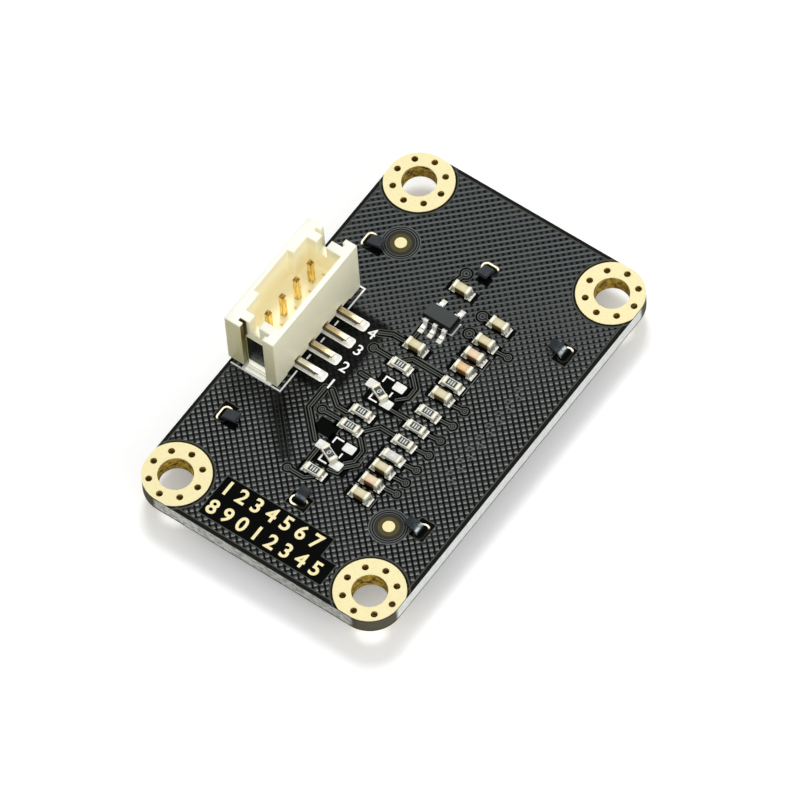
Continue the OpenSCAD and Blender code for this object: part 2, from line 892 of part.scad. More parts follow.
// Lands of the two jumper groups: one on the left, two on the right
module jumper_lands() {
    color([0.92, 0.92, 0.9])
        for (y = jumper_rows)
            for (place = [[-1, 0], [1, 1], [1, -1]])
                translate([jumper_x + place[0] * jumper_span_x / 2, y + place[1] * jumper_span_y, 0])
                    linear_extrude(copper_t)
                        rounded_rect(jumper_land[0], jumper_land[1], jumper_land_r);
}

if (shown("circuit_board")) circuit_board();
for (i = [1:4]) if (shown(str("mounting_ring_", i))) mounting_ring(i);
if (shown("slot_plating")) slot_plating();
if (shown("alignment_marks")) alignment_marks();
if (shown("printed_lines")) printed_lines();
if (shown("display_bezel")) at_panel() display_bezel();
if (shown("front_glass")) at_panel() front_glass();
if (shown("rear_glass")) at_panel() rear_glass();
if (shown("polariser")) at_panel() polariser();
if (shown("driver_chip")) at_panel() driver_chip();
if (shown("flex_tail")) at_panel() flex_tail();
if (shown("flex_lands")) at_panel() flex_lands();
if (shown("foam_pad")) at_panel() foam_pad();
if (shown("header_housing")) header_housing();
for (i = [1:pin_count]) if (shown(str("header_pin_", i))) header_pin(i);
for (i = [1:2]) if (shown(str("hold_down_tab_", i))) hold_down_tab(i);
if (shown("header_lands")) header_lands();
if (shown("regulator_body")) regulator_body();
if (shown("regulator_leads")) regulator_leads();
if (shown("regulator_lands")) regulator_lands();
for (i = [1:10]) if (shown(str("capacitor_", i))) capacitor(i);
for (i = [1:9]) if (shown(str("resistor_", i))) resistor(i);
for (i = [1:2]) if (shown(str("jumper_resistor_", i))) jumper_resistor(i);
if (shown("capacitor_ends")) capacitor_ends();
if (shown("resistor_ends")) resistor_ends();
if (shown("solder_joints")) solder_joints();
if (shown("jumper_lands")) jumper_lands();
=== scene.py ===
"""Looks of a small display module: its board, header, chips, bezel and stage."""
import math

import bpy
from mathutils import Matrix, Vector


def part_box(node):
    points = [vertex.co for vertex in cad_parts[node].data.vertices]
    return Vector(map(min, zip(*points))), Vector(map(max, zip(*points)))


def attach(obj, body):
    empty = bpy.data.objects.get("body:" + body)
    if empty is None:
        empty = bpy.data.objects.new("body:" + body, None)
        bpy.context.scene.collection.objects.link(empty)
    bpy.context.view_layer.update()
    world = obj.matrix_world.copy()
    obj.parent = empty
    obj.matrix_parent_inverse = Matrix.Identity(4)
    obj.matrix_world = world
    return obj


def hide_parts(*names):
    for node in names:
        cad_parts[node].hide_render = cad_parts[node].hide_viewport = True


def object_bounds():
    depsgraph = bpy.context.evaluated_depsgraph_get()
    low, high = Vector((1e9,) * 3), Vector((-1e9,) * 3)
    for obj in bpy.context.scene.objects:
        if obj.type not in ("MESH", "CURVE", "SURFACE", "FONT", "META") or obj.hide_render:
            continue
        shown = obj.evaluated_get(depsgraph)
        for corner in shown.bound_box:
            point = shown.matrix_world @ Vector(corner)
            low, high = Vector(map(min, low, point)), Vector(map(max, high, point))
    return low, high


bl_info = {
    "name": "Display Module Looks",
    "version": (1, 0, 0),
    "blender": (4, 5, 0),
    "location": "View3D > Sidebar > Module",
    "description": "Finishes and fine pieces of a small display module on its stage",
    "category": "Object",
}

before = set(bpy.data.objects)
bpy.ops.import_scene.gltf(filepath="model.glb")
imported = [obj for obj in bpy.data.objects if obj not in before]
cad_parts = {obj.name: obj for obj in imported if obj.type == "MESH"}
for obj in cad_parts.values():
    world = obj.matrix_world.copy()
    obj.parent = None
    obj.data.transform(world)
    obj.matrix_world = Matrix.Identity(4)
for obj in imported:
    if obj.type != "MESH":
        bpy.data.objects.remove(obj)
CAD_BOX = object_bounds()
MM = 0.001


def corners(node):
    """The two corners of a CAD node's box, in millimetres"""
    return [Vector(corner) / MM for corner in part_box(node)]


# Every place and length down to the lamps is in millimetres. The origin is in the middle of the
# board's top face, X runs across the board from the header's edge, and Y along it.

BOARD_CORNER = corners("circuit_board")[1]
# Heights of the board's middle and underside, and of its cut edge's two dark lines' inner ends
BOARD_MIDDLE = -0.8
BOARD_UNDERSIDE = -1.6
EDGE_LINES = (-0.13, -1.47)
# The mounting holes' place, the radius of the bare border round them, and the corners' radius
HOLES = (10.0, 17.5)
HOLE_BORDER = 3.42
CORNER_RADIUS = 2.9
# Width of the border without copper along the board's edge
POUR_BORDER = 0.42

# The housing's back and front, the middle and half of its length, its end walls' height
HOUSING_BACK, HOUSING_FRONT = (corner.x for corner in corners("header_housing"))
HOUSING_MIDDLE = sum(corner.y for corner in corners("header_housing")) / 2
HOUSING_HALF = corners("header_housing")[1].y - HOUSING_MIDDLE
HOUSING_RIM = 6.5
# The first pin's place along the header, the pins' pitch, the socket floor's middle line, and a
# height just over that floor
FIRST_PIN = -2.88
PIN_PITCH = 2.0
SOCKET_ROW = -10.23
SOCKET_FLOOR = 2.9
# Height above which the pins' cut tips are brown
PIN_TIP = 5.36
# Height of the solder on the hold-down tabs' feet
TAB_FOOT = 0.85

# The six slots: their common middle, and how far from it the side and the end slots lie
SLOT_MIDDLE = (0.09, -0.08)
SIDE_SLOTS = (10.17, 10.4)
END_SLOTS = 13.78
# Where the prongs fold over, on the right and at the front
RIGHT_FOLD = 10.02
FRONT_FOLD = -13.62
# Rectangles without hatch round four of the six slots: middle, width and length
SLOT_WINDOWS = (
    (10.18, 10.3, 1.4, 1.95),
    (-10.08, -10.3, 1.4, 1.95),
    (10.18, -10.3, 1.4, 1.95),
    (0.09, -13.8, 1.95, 1.4),
)

# One alignment mark, the radii of the window in the mask about it and of two lighter rounds,
# and its fine lines' radii and half widths. The other mark lies opposite.
MARK = (7.7, 11.6)
MARK_WINDOW = 1.74
MARK_RINGS = (1.2, 0.93)
MARK_LINES = ((1.27, 0.03), (1.48, 0.04), (1.68, 0.05))

# Covered copper on the board's component side. A track runs through its points.
TRACKS = (
    ((-0.6, 2.3), (-0.1, 2.75), (3.0, 2.75)),
    ((-4.0, 3.3), (-2.9, 3.83), (-1.8, 3.83)),
    ((-1.3, 4.0), (-1.3, 6.0)),
    ((-3.5, 1.85), (-1.7, 1.85)),
    ((-3.0, -0.8), (-2.1, -0.8)),
    ((0.75, 1.5), (1.75, 0.55), (1.75, -0.55), (1.05, -1.25)),
    ((1.2, -2.3), (3.0, -2.3)),
    ((0.65, -5.2), (1.5, -4.18), (3.0, -4.18)),
    ((-3.55, -5.5), (-1.8, -5.45)),
    ((-4.0, -3.5), (-2.7, -4.5), (-1.7, -4.5)),
    ((-4.6, -3.6), (-4.6, -5.9), (-2.3, -8.2)),
    ((0.7, -6.0), (1.62, -6.9), (1.62, -8.1), (1.05, -8.7)),
    ((2.1, -8.2), (1.2, -9.2), (1.15, -9.8), (0.3, -9.95)),
    ((-1.6, -8.8), (-1.6, -11.2)),
    ((-2.65, -11.7), (-0.95, -11.7), (-0.3, -11.1)),
    ((-1.3, 12.2), (-1.65, 10.9)),
    ((2.3, 9.5), (3.1, 9.4)),
    ((2.35, 7.5), (3.1, 7.35)),
)
# Vias right of the chips, and the column of chip ends that each one's track starts from
RIGHT_VIAS = (
    (6.4, 7.4), (6.45, 1.05), (6.45, -0.7), (6.45, -2.45),
    (6.45, -4.15), (6.45, -5.9), (6.4, -7.4), (6.4, -8.7),
)
CHIP_ENDS = 5.2
# Other vias at the tracks' ends, and the widths of both kinds with their pads
SMALL_VIAS = ((-3.5, 1.85), (-3.55, -5.5), (-2.65, -11.7))
LARGE_VIAS = ((2.3, 9.5), (2.35, 7.5), (-1.3, 12.2))
SMALL_PAD = 0.66
LARGE_PAD = 0.9
SMALL_VIA = 0.3
LARGE_VIA = 0.5
# Two columns of filled vias near the right edge: first place, and the step down the board
VIA_COLUMNS = ((9.5, 4.6, 1.4), (8.92, 5.25, 1.39))
VIAS_A_COLUMN = 8
# Edge lines of the copper that follow no track, painted highlights along its edges
POUR_LINES = (
    ((5.4, 6.2), (5.4, 2.2)),
    ((5.35, -10.0), (5.35, -11.2)),
    ((3.1, 3.4), (2.7, 3.17), (0.4, 3.17)),
    ((-1.75, 6.0), (-1.75, 4.85)),
    ((0.3, 4.85), (1.0, 5.3)),
    ((2.2, 0.5), (2.2, -0.6)),
    ((2.15, -6.9), (2.15, -8.2)),
)
# Copper cut away in a patch, in the panel under the two rows of gold numbers, and about the two
# groups of bridge lands; dark patches beside the prongs are painted shadows: middle, width and length
PATCH = (-2.2, -6.75, 2.0, 1.5)
NUMBER_PANEL = ((-0.825, -16.125, 10.95, 1.95), (-0.025, -18.225, 12.55, 2.25))
PRONG_SHADOW_PATCHES = ((-9.2, 9.75, 1.5, 0.7), (-9.2, -11.0, 1.5, 0.7), (0.3, 12.55, 1.3, 0.9))
BRIDGE_PATCHES = ((0.15, -1.2, 3.3, 3.2), (0.15, -8.4, 3.3, 3.2))
# How much wider and longer than a chip the cleared strip about it is
CHIP_BORDER = (1.35, 0.42)
# Height of one of the layers of films on the board
LAYER = 0.007

# Where the pins' numbers and the two rows of gold numbers start, and how high they stand
PIN_NUMBERS_X = -4.8
PIN_NUMBERS_Y = (-3.55, -1.58, 0.42, 2.42)
GOLD_ROWS = (("1 2 3 4 5 6 7", (-6.05, -16.8)), ("8 9 0 1 2 3 4 5", (-6.05, -18.95)))
PRINT_HEIGHT = 0.02
# A bridge chip lies aslant, between lands this far apart
BRIDGE_SPAN = (2.09, 0.95)

# Lamps that face the part: name, place, size and power, in metres and watts
LAMPS = (
    ("key", (-0.15, 0.21, 0.46), 0.15, 1.15),
    ("side", (0.50, -0.08, 0.24), 0.40, 1.25),
    ("front", (-0.15, -0.55, 0.30), 0.40, 0.42),
)
# How strongly the white world lights what isn't seen straight or as a reflection
WORLD_LIGHT = 0.42
# The camera's place in metres, the directions to its right and top, and its lens
CAMERA_PLACE = (0.25128, -0.30158, 0.64516)
CAMERA_RIGHT = (0.8119, 0.5822, -0.0434)
CAMERA_UP = (-0.4807, 0.7088, 0.5164)
CAMERA_LENS = 404.8


# -------- settings

def length(name, description, default):
    """A length whose default is given in millimetres"""
    return bpy.props.FloatProperty(name=name, description=description, default=default * MM,
                                   unit="LENGTH", precision=6)


def tint(name, description, default):
    return bpy.props.FloatVectorProperty(name=name, description=description, default=default,
                                         subtype="COLOR")


class ModuleSizes(bpy.types.PropertyGroup):
    """Sizes of the fine pieces"""
    housing_edge: length("Housing edge", "Radius of the housing's moulded edges", 0.05)
    chip_edge: length("Chip edge", "Radius of the edges of the fired chips", 0.07)
    hatch_pitch: bpy.props.FloatProperty(
        name="Hatch pitch", description="Spacing of the hatched copper's lines, in millimetres",
        default=0.5)
    hatch_phase: bpy.props.FloatVectorProperty(
        name="Hatch phase", description="Place of the hatch's openings in their cell",
        default=(0.22, 0.80), size=2)
    track_width: length("Track width", "Width of a covered copper track", 0.28)
    track_gap: length("Track gap", "Bare gap between a track and the copper round it", 0.17)
    # The edge line is a painted highlight along each copper edge
    edge_line: length("Edge line", "Width of the line that shines along a copper edge", 0.07)
    number_height: length("Number height", "Height of the printed pin numbers", 1.5)
    gold_number_height: length("Gold number height", "Height of the rows of gold numbers", 1.95)


class ModuleColours(bpy.types.PropertyGroup):
    """Colours of the module's finishes"""
    mask: tint("Mask", "Solder mask over the copper", (0.021, 0.024, 0.023))
    mask_line: tint("Mask on the lines", "Solder mask over the hatch's lines", (0.050, 0.058, 0.058))
    mask_pit: tint("Mask in the openings", "Solder mask in the hatch's openings",
                   (0.002, 0.0025, 0.002))
    # The glint is a painted highlight on the hatch's lines
    mask_glint: tint("Mask that shines", "Solder mask where the hatch's lines shine",
                     (0.24, 0.25, 0.245))
    fibre: tint("Board edge", "Cut edge of the glass fibre board", (0.97, 1.0, 0.97))
    gold: tint("Gold", "Gold plating", (0.74, 0.66, 0.365))
    ivory: tint("Housing", "Ivory plastic of the header", (0.96, 0.93, 0.69))
    steel: tint("Bezel", "Black coated steel", (0.045, 0.050, 0.056))


def sizes():
    return bpy.context.scene.module_sizes


def colours():
    return bpy.context.scene.module_colours


# -------- shader maths

class Wire:
    """An output in a node tree, on which arithmetic adds Math nodes."""

    def __init__(self, nodes, socket):
        self.nodes = nodes
        self.socket = socket

    def maths(self, operation, *values):
        return self.nodes.add("ShaderNodeMath", {"operation": operation}, values)

    def __add__(self, other):
        return self.maths("ADD", self, other)

    __radd__ = __add__

    def __sub__(self, other):
        return self.maths("SUBTRACT", self, other)

    def __rsub__(self, other):
        return self.maths("SUBTRACT", other, self)

    def __mul__(self, other):
        return self.maths("MULTIPLY", self, other)

    __rmul__ = __mul__

    def __truediv__(self, other):
        return self.maths("DIVIDE", self, other)

    def __rtruediv__(self, other):
        return self.maths("DIVIDE", other, self)

    def __abs__(self):
        return self.maths("ABSOLUTE", self)

    def root(self):
        return self.maths("SQRT", self)

    def least(self, other):
        return self.maths("MINIMUM", self, other)

    def most(self, other):
        return self.maths("MAXIMUM", self, other)

    def wave(self, centre):
        """Cosine with period 1 that peaks at centre"""
        return self.maths("COSINE", (self - centre) * (2 * math.pi))

    def above(self, level, soft):
        """0 below level - soft, 1 above level + soft"""
        return self.nodes.add("ShaderNodeMapRange", {"interpolation_type": "SMOOTHSTEP"}, {
            "Value": self, "From Min": level - soft, "From Max": level + soft})

    def below(self, level, soft):
        return 1 - self.above(level, soft)

    def band(self, middle, half, soft):
        """1 within half of middle"""
        return abs(self - middle).below(half, soft)


class Nodes:
    """A node tree."""

    def __init__(self, tree):
        self.tree = tree

    def add(self, kind, settings=None, values=(), output=0):
        """Adds a node: its settings first, then the values or links of its sockets"""
        node = self.tree.nodes.new(kind)
        for key, value in (settings or {}).items():
            setattr(node, key, value)
        pairs = values.items() if isinstance(values, dict) else enumerate(values)
        for key, value in pairs:
            if isinstance(value, Wire):
                self.tree.links.new(value.socket, node.inputs[key])
            else:
                node.inputs[key].default_value = value
        return Wire(self, node.outputs[output])


class Finish(Nodes):
    """A material and its node tree."""

    def __init__(self, name, **constants):
        self.material = bpy.data.materials.new(name)
        self.material.use_nodes = True
        super().__init__(self.material.node_tree)
        self.shader = self.tree.nodes["Principled BSDF"]
        self.set(**constants)

    def set(self, **values):
        """Sets or links the shader's sockets by name, with _ for a space"""
        for key, value in values.items():
            socket = self.shader.inputs[key.replace("_", " ")]
            if isinstance(value, Wire):
                self.tree.links.new(value.socket, socket)
            elif isinstance(socket.default_value, float):
                socket.default_value = value
            else:
                socket.default_value = (*value, 1.0) if len(value) == 3 else value

    def place(self, stretch=(1, 1, 1)):
        """The piece's own coordinates in millimetres, stretched along each axis"""
        spot = self.add("ShaderNodeTexCoord", output="Object")
        return self.add("ShaderNodeVectorMath", {"operation": "MULTIPLY"},
                        [spot, [s / MM for s in stretch]])

    def axes(self, spot):
        """The three parts of a place"""
        return [self.add("ShaderNodeSeparateXYZ", {}, [spot], output=i) for i in range(3)]

    def noise(self, spot, scale, detail=2.0, rough=0.5):
        return self.add("ShaderNodeTexNoise", {}, {
            "Vector": spot, "Scale": scale, "Detail": detail, "Roughness": rough})

    def grains(self, coarse, fine):
        """The piece's own coordinates in millimetres, with coarse and fine noise on them"""
        spot = self.place()
        return spot, self.noise(spot, coarse, 3.0), self.noise(spot, fine, 2.0)

    def mix(self, share, low, high):
        """Colour between two colours"""
        def colour(value):
            return value if isinstance(value, Wire) else (*value, 1.0)
        return self.add("ShaderNodeMix", {"data_type": "RGBA"},
                        {0: share, 6: colour(low), 7: colour(high)}, output=2)

    def bump(self, height, distance):
        """A relief for the Normal socket; its distance is in millimetres"""
        return self.add("ShaderNodeBump", {}, {
            "Height": height, "Distance": distance * MM})


def put_on(finish, *names):
    """Gives CAD nodes a finish"""
    for name in names:
        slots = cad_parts[name].data.materials
        slots.clear()
        slots.append(finish.material)


# -------- finishes

def metal_finish(name, dark, light, roughness, grain=9.0, metallic=1.0, bump=0.002):
    """Metal with a cloudy tone and a fine grain"""
    finish = Finish(name, Metallic=metallic)
    cloud, fine = finish.grains(grain * 0.25, grain * 3.0)[1:]
    finish.set(Base_Color=finish.mix(cloud, dark, light),
               Roughness=roughness + (fine - 0.5) * 0.14,
               Normal=finish.bump(fine + cloud * 2.0, bump))
    return finish


def plating_finish(name, gold, wall_dark, wall_light):
    """Gold plating: pale on the board's faces, and painted brown and mottled down in its holes, a
    painted shade
    """
    finish = Finish(name, Specular_IOR_Level=0.2)
    spot, cloud, fine = finish.grains(1.6, 21.0)
    z = finish.axes(spot)[2]
    mottle = finish.noise(finish.place((1.0, 1.0, 1.3)), 2.6, 3.0, 0.6).above(0.50, 0.22)
    face = finish.mix(cloud, [c * 0.93 for c in gold], gold)
    grit = finish.noise(spot, 8.0, 2.0).above(0.56, 0.12)
    face = finish.mix(grit * 0.25, face, [c * 0.75 for c in gold])
    # Down in the holes the walls are painted darker, brown and mottled: painted shade
    wall = finish.mix(mottle, wall_dark, wall_light)
    down = z.below(-0.02, 0.01) * z.above(BOARD_UNDERSIDE + 0.02, 0.01)
    finish.tone = finish.mix(down, face, wall)
    finish.set(Base_Color=finish.tone,
               Metallic=0.12 + down * 0.25,
               Roughness=0.42 + (fine - 0.5) * 0.14 + down * 0.2,
               Normal=finish.bump(fine + cloud * 2.0 + mottle * down, 0.002))
    return finish


def gold_finish():
    """Gold plating of the rings, the marks and the numbers"""
    return plating_finish("gold_plating", colours().gold, (0.045, 0.024, 0.002), (0.80, 0.55, 0.09))


def slot_finish():
    """Plated slots: a painted shadow of the prongs darkens their rims away from the board's back left
    corner
    """
    # A paler copy of the gold, a painted highlight on the slots' rims and walls
    finish = plating_finish("slot_gold", (1.0, 0.93, 0.70), (0.12, 0.085, 0.010), (0.34, 0.26, 0.04))
    x, y = finish.axes(finish.place())[:2]
    right = x.above(0, 0.01) * 2 - 1
    back = y.above(0, 0.01) * 2 - 1
    side = abs(x).above(5, 0.01)
    from_x = x - (right * side * SIDE_SLOTS[0] + SLOT_MIDDLE[0])
    from_y = y - (back * (END_SLOTS - side * (END_SLOTS - SIDE_SLOTS[1])) + SLOT_MIDDLE[1])
    # Painted shadow of each prong on its slot's rim
    shade = (from_x - from_y + side * right.above(0, 0.1) * 0.70).above(0.42, 0.16)
    finish.set(Base_Color=finish.mix(shade * 0.99, finish.tone, (0.006, 0.005, 0.003)),
               Roughness=0.42 + shade * 0.55)
    return finish


def sheet_finish():
    """Black plated steel sheet, with painted shade on the prongs and a painted sheen where the right
    prongs fold over
    """
    steel = colours().steel
    finish = Finish("black_sheet", Metallic=0.08, Specular_IOR_Level=0.1)
    spot, cloud, fine = finish.grains(1.6, 14.0)
    x, y, z = finish.axes(spot)
    tone = finish.mix(cloud, [c * 0.6 for c in steel], [c * 1.3 for c in steel])
    # The prongs, which stand above the board; the right and front ones painted darker, a painted shade
    above = z.above(0.0, 0.02)
    right = x.above(5, 0.1) * above
    front = abs(x).below(5, 0.1) * y.below(-13, 0.1) * above
    tone = finish.mix(right * 0.8, tone, (0.012, 0.020, 0.023))
    tone = finish.mix(front * 0.7, tone, (0.016, 0.022, 0.025))
    # A blotchy painted sheen just inside the right folds, then a painted sheen along the folds
    blotch = finish.noise(spot, 5.0, 3.0, 0.6).above(0.50, 0.12)
    near = x.band(RIGHT_FOLD - 0.32, 0.25, 0.5) * above * blotch
    tone = finish.mix(near * 0.5, tone, (0.10, 0.125, 0.135))
    right_fold = x.band(RIGHT_FOLD, 0.12, 0.14)
    front_fold = y.band(FRONT_FOLD, 0.10, 0.12) * 0.25
    fold = (right_fold + front_fold).least(1.0) * above
    glow = finish.noise(spot, 3.2, 2.0).above(0.48, 0.1)
    tone = finish.mix(fold * (0.35 + glow * 0.65), tone, (0.66, 0.74, 0.78))
    # What stands down in the slots is painted dark, a painted shade
    outside = x.above(RIGHT_FOLD + 0.13, 0.05) + y.below(FRONT_FOLD - 0.14, 0.05)
    low = outside.least(1.0) * z.above(-1.4, 0.1)
    tone = finish.mix(low * 0.9, tone, (0.002, 0.002, 0.002))
    finish.set(Base_Color=tone, Roughness=0.36 + (fine - 0.5) * 0.14,
               Normal=finish.bump(fine + cloud * 2.0, 0.004))
    return finish


def wire_finish():
    """Gold flash on the pins, brown on the cut tips and pale where the legs are tinned, with painted
    shade and highlight
    """
    finish = Finish("pin_wire")
    spot = finish.place()
    x, y, z = finish.axes(spot)
    streak = finish.noise(finish.place((6.0, 6.0, 0.8)), 1.3, 3.0)
    fine = finish.noise(spot, 16.0, 2.0)
    gold = finish.mix(streak.above(0.5, 0.2), (0.56, 0.34, 0.05), (1.0, 0.80, 0.28))
    tip = z.above(PIN_TIP, 0.06)
    brown = finish.mix(streak.above(0.5, 0.1), (0.20, 0.10, 0.014), (0.50, 0.31, 0.07))
    gold = finish.mix(tip, gold, brown)
    # The legs in front of the housing, tinned, and whitest on the first pin as a painted highlight
    leg = x.above(HOUSING_FRONT - 0.1, 0.1)
    first = y.below(FIRST_PIN + 0.88, 0.6)
    tinned = finish.mix(first * 0.8 + (streak - 0.3) * 0.5, (0.66, 0.51, 0.28), (1.0, 0.99, 0.86))
    gold = finish.mix(leg, gold, tinned)
    # The side of each leg that faces the board's front edge is painted dark, a painted shade
    across = (y - FIRST_PIN) / PIN_PITCH
    near = across.wave(-0.11).above(0.985, 0.012) * leg
    gold = finish.mix(near * 0.9, gold, (0.055, 0.040, 0.014))
    # Painted shade on the pins just in front of the housing
    gold = finish.mix(x.band(HOUSING_FRONT - 0.35, 0.3, 0.1), gold, (0.02, 0.015, 0.005))
    finish.set(Base_Color=gold,
               Metallic=1 - tip * 0.75,
               Roughness=0.27 + tip * 0.3 + (fine - 0.5) * 0.14,
               Normal=finish.bump(fine + streak, 0.003))
    return finish


def tab_finish():
    """Tinned plate painted dark where it stands, pale where solder covers its ribbed foot; painted
    light and shade
    """
    finish = Finish("tab_tin", Metallic=1.0)
    spot, cloud, fine = finish.grains(1.1, 12.0)
    y, z = finish.axes(spot)[1:]
    foot = z.below(TAB_FOOT, 0.12)
    rib = (y * 4.2).wave(0.1).above(0.80, 0.18) * foot
    # The standing plate is painted dark, a painted reflection of dark surroundings
    tone = finish.mix(cloud, (0.02, 0.024, 0.026), (0.10, 0.11, 0.11))
    pale = finish.mix(cloud, (0.95, 0.94, 0.84), (1.0, 1.0, 0.94))
    tone = finish.mix(foot, tone, pale)
    # Painted shade along the foot's ribs
    tone = finish.mix(rib * 0.7, tone, (0.30, 0.27, 0.16))
    # Painted light: the foot glows a little between its ribs
    finish.set(Base_Color=tone,
               Metallic=1 - foot * 0.75,
               Emission_Strength=1.0,
               Emission_Color=finish.mix(foot * (1 - rib), (0.0, 0.0, 0.0), (0.26, 0.26, 0.22)),
               Roughness=0.20 + foot * 0.2 + (fine - 0.5) * 0.1,
               Normal=finish.bump(fine * 0.5 - rib, 0.02))
    return finish


def housing_finish():
    """Ivory nylon, yellower and darker in its recessed ends from painted shade, and lit in its socket
    by painted light
    """
    ivory = colours().ivory
    finish = Finish("ivory_nylon")
    spot = finish.place()
    x, y, z = finish.axes(spot)
    cloud = finish.noise(spot, 0.6, 3.0)
    fine = finish.noise(spot, 9.0, 3.0)
    inset = HOUSING_HALF - abs(y - HOUSING_MIDDLE)
    body = finish.mix(cloud, [c * 0.95 for c in ivory], ivory)
    # Painted shade: the end faces darker and yellower, most toward the back
    rear = x.below(HOUSING_BACK + 2.6, 0.2)
    ends = z.below(HOUSING_RIM, 0.04) * inset.below(0.03, 0.02)
    body = finish.mix(ends * (0.45 + rear * 0.4), body, (0.58, 0.55, 0.28))
    # Painted shade in the grooves in the end walls, dark at the front end
    recess = inset.above(0.05, 0.04) * inset.below(0.9, 0.1) * z.below(HOUSING_RIM, 0.05)
    inner = x.above(HOUSING_BACK + 0.9, 0.2) * x.below(HOUSING_FRONT - 0.9, 0.2)
    groove = recess * inner * x.below(HOUSING_BACK + 1.72, 0.1)
    front_end = y.below(HOUSING_MIDDLE, 1.0) * 0.92 + 0.08
    shadow = finish.mix(z.above(4.2, 0.3), (0.17, 0.15, 0.035), (0.10, 0.065, 0.008))
    body = finish.mix(groove * front_end, body, shadow)
    # Painted highlight: the top of the rim paler
    body = finish.mix(z.above(HOUSING_RIM + 0.05, 0.03) * 0.8, body, (1.0, 1.0, 0.90))
    # The socket's walls and floor, painted paler and yellower: painted light
    socket = x.above(HOUSING_BACK + 0.3, 0.1) * x.below(HOUSING_FRONT - 0.4, 0.1) * z.below(5.6, 0.6)
    body = finish.mix(socket * inset.above(1.2, 0.4) * 0.7, body, (1.0, 0.94, 0.70))
    # Small brown dots on the socket's floor, one between each pair of pins
    between = ((y - FIRST_PIN) / PIN_PITCH).wave(0.5).above(0.93, 0.05)
    between = between * abs(y - HOUSING_MIDDLE).below(4.4, 0.2)
    dot = between * x.band(SOCKET_ROW, 0.14, 0.10) * z.below(SOCKET_FLOOR - 0.15, 0.1)
    body = finish.mix(dot * 0.7, body, (0.40, 0.27, 0.06))
    # Painted light: a glow in the socket and in the back end's groove, standing for light through the
    # plastic
    through = finish.mix(z.below(SOCKET_FLOOR, 0.1), (0.10, 0.092, 0.062), (0.16, 0.148, 0.10))
    back_groove = groove * (1 - front_end) * z.above(2.0, 1.0) * 4.5
    lit = (socket * inset.above(0.9, 0.2)).most(back_groove)
    finish.set(Base_Color=body,
               Roughness=0.42 + (fine - 0.5) * 0.12,
               Emission_Strength=1.0,
               Emission_Color=finish.mix(lit, (0.0, 0.0, 0.0), through),
               Normal=finish.bump(fine, 0.004))
    return finish


def joint_finish():
    """Solder climbing a chip's end: painted glints among slopes painted dark, a painted reflection"""
    finish = Finish("joint_solder", Metallic=0.3)
    spot, lump, fine = finish.grains(2.6, 9.0)
    z = finish.axes(spot)[2]
    # Painted reflection: the slopes dark, with painted glints over them
    slope = z.above(0.10, 0.05) * lump.below(0.56, 0.05)
    tone = finish.mix(slope * 0.85, (0.86, 0.85, 0.75), (0.10, 0.09, 0.05))
    tone = finish.mix(fine.above(0.62, 0.1) * 0.5, tone, (0.95, 0.95, 0.88))
    finish.set(Base_Color=tone, Roughness=0.3 + (fine - 0.5) * 0.1,
               Normal=finish.bump(lump * 2.0 + fine, 0.03))
    return finish


def chip_finish(name, top, side, height=0.78, gloss=0.5, mottle=0.35):
    """A chip's body, painted pale on top from the given height in mm and darker down its sides:
    painted shade
    """
    finish = Finish(name, Specular_IOR_Level=gloss)
    spot, cloud, fine = finish.grains(1.3, 14.0)
    z = finish.axes(spot)[2]
    tone = finish.mix(z.above(height - 0.05, 0.04), side, top)
    tone = finish.mix((cloud - 0.4) * mottle, tone, [c * 0.6 for c in top])
    finish.set(Base_Color=tone, Roughness=0.36 + (fine - 0.5) * 0.12,
               Normal=finish.bump(fine, 0.004))
    return finish


def plastic_finish(name, colour, roughness, change=0.06, grain=18.0, bump=0.004, gloss=0.5):
    """A plain coat or plastic with a slight change of tone and a fine grain"""
    finish = Finish(name, Specular_IOR_Level=gloss)
    cloud, fine = finish.grains(0.45, grain)[1:]
    low = [c * (1 - change) for c in colour]
    high = [min(1.0, c * (1 + change)) for c in colour]
    finish.set(Base_Color=finish.mix(cloud, low, high),
               Roughness=roughness + (fine - 0.5) * 0.12,
               Normal=finish.bump(fine, bump))
    return finish


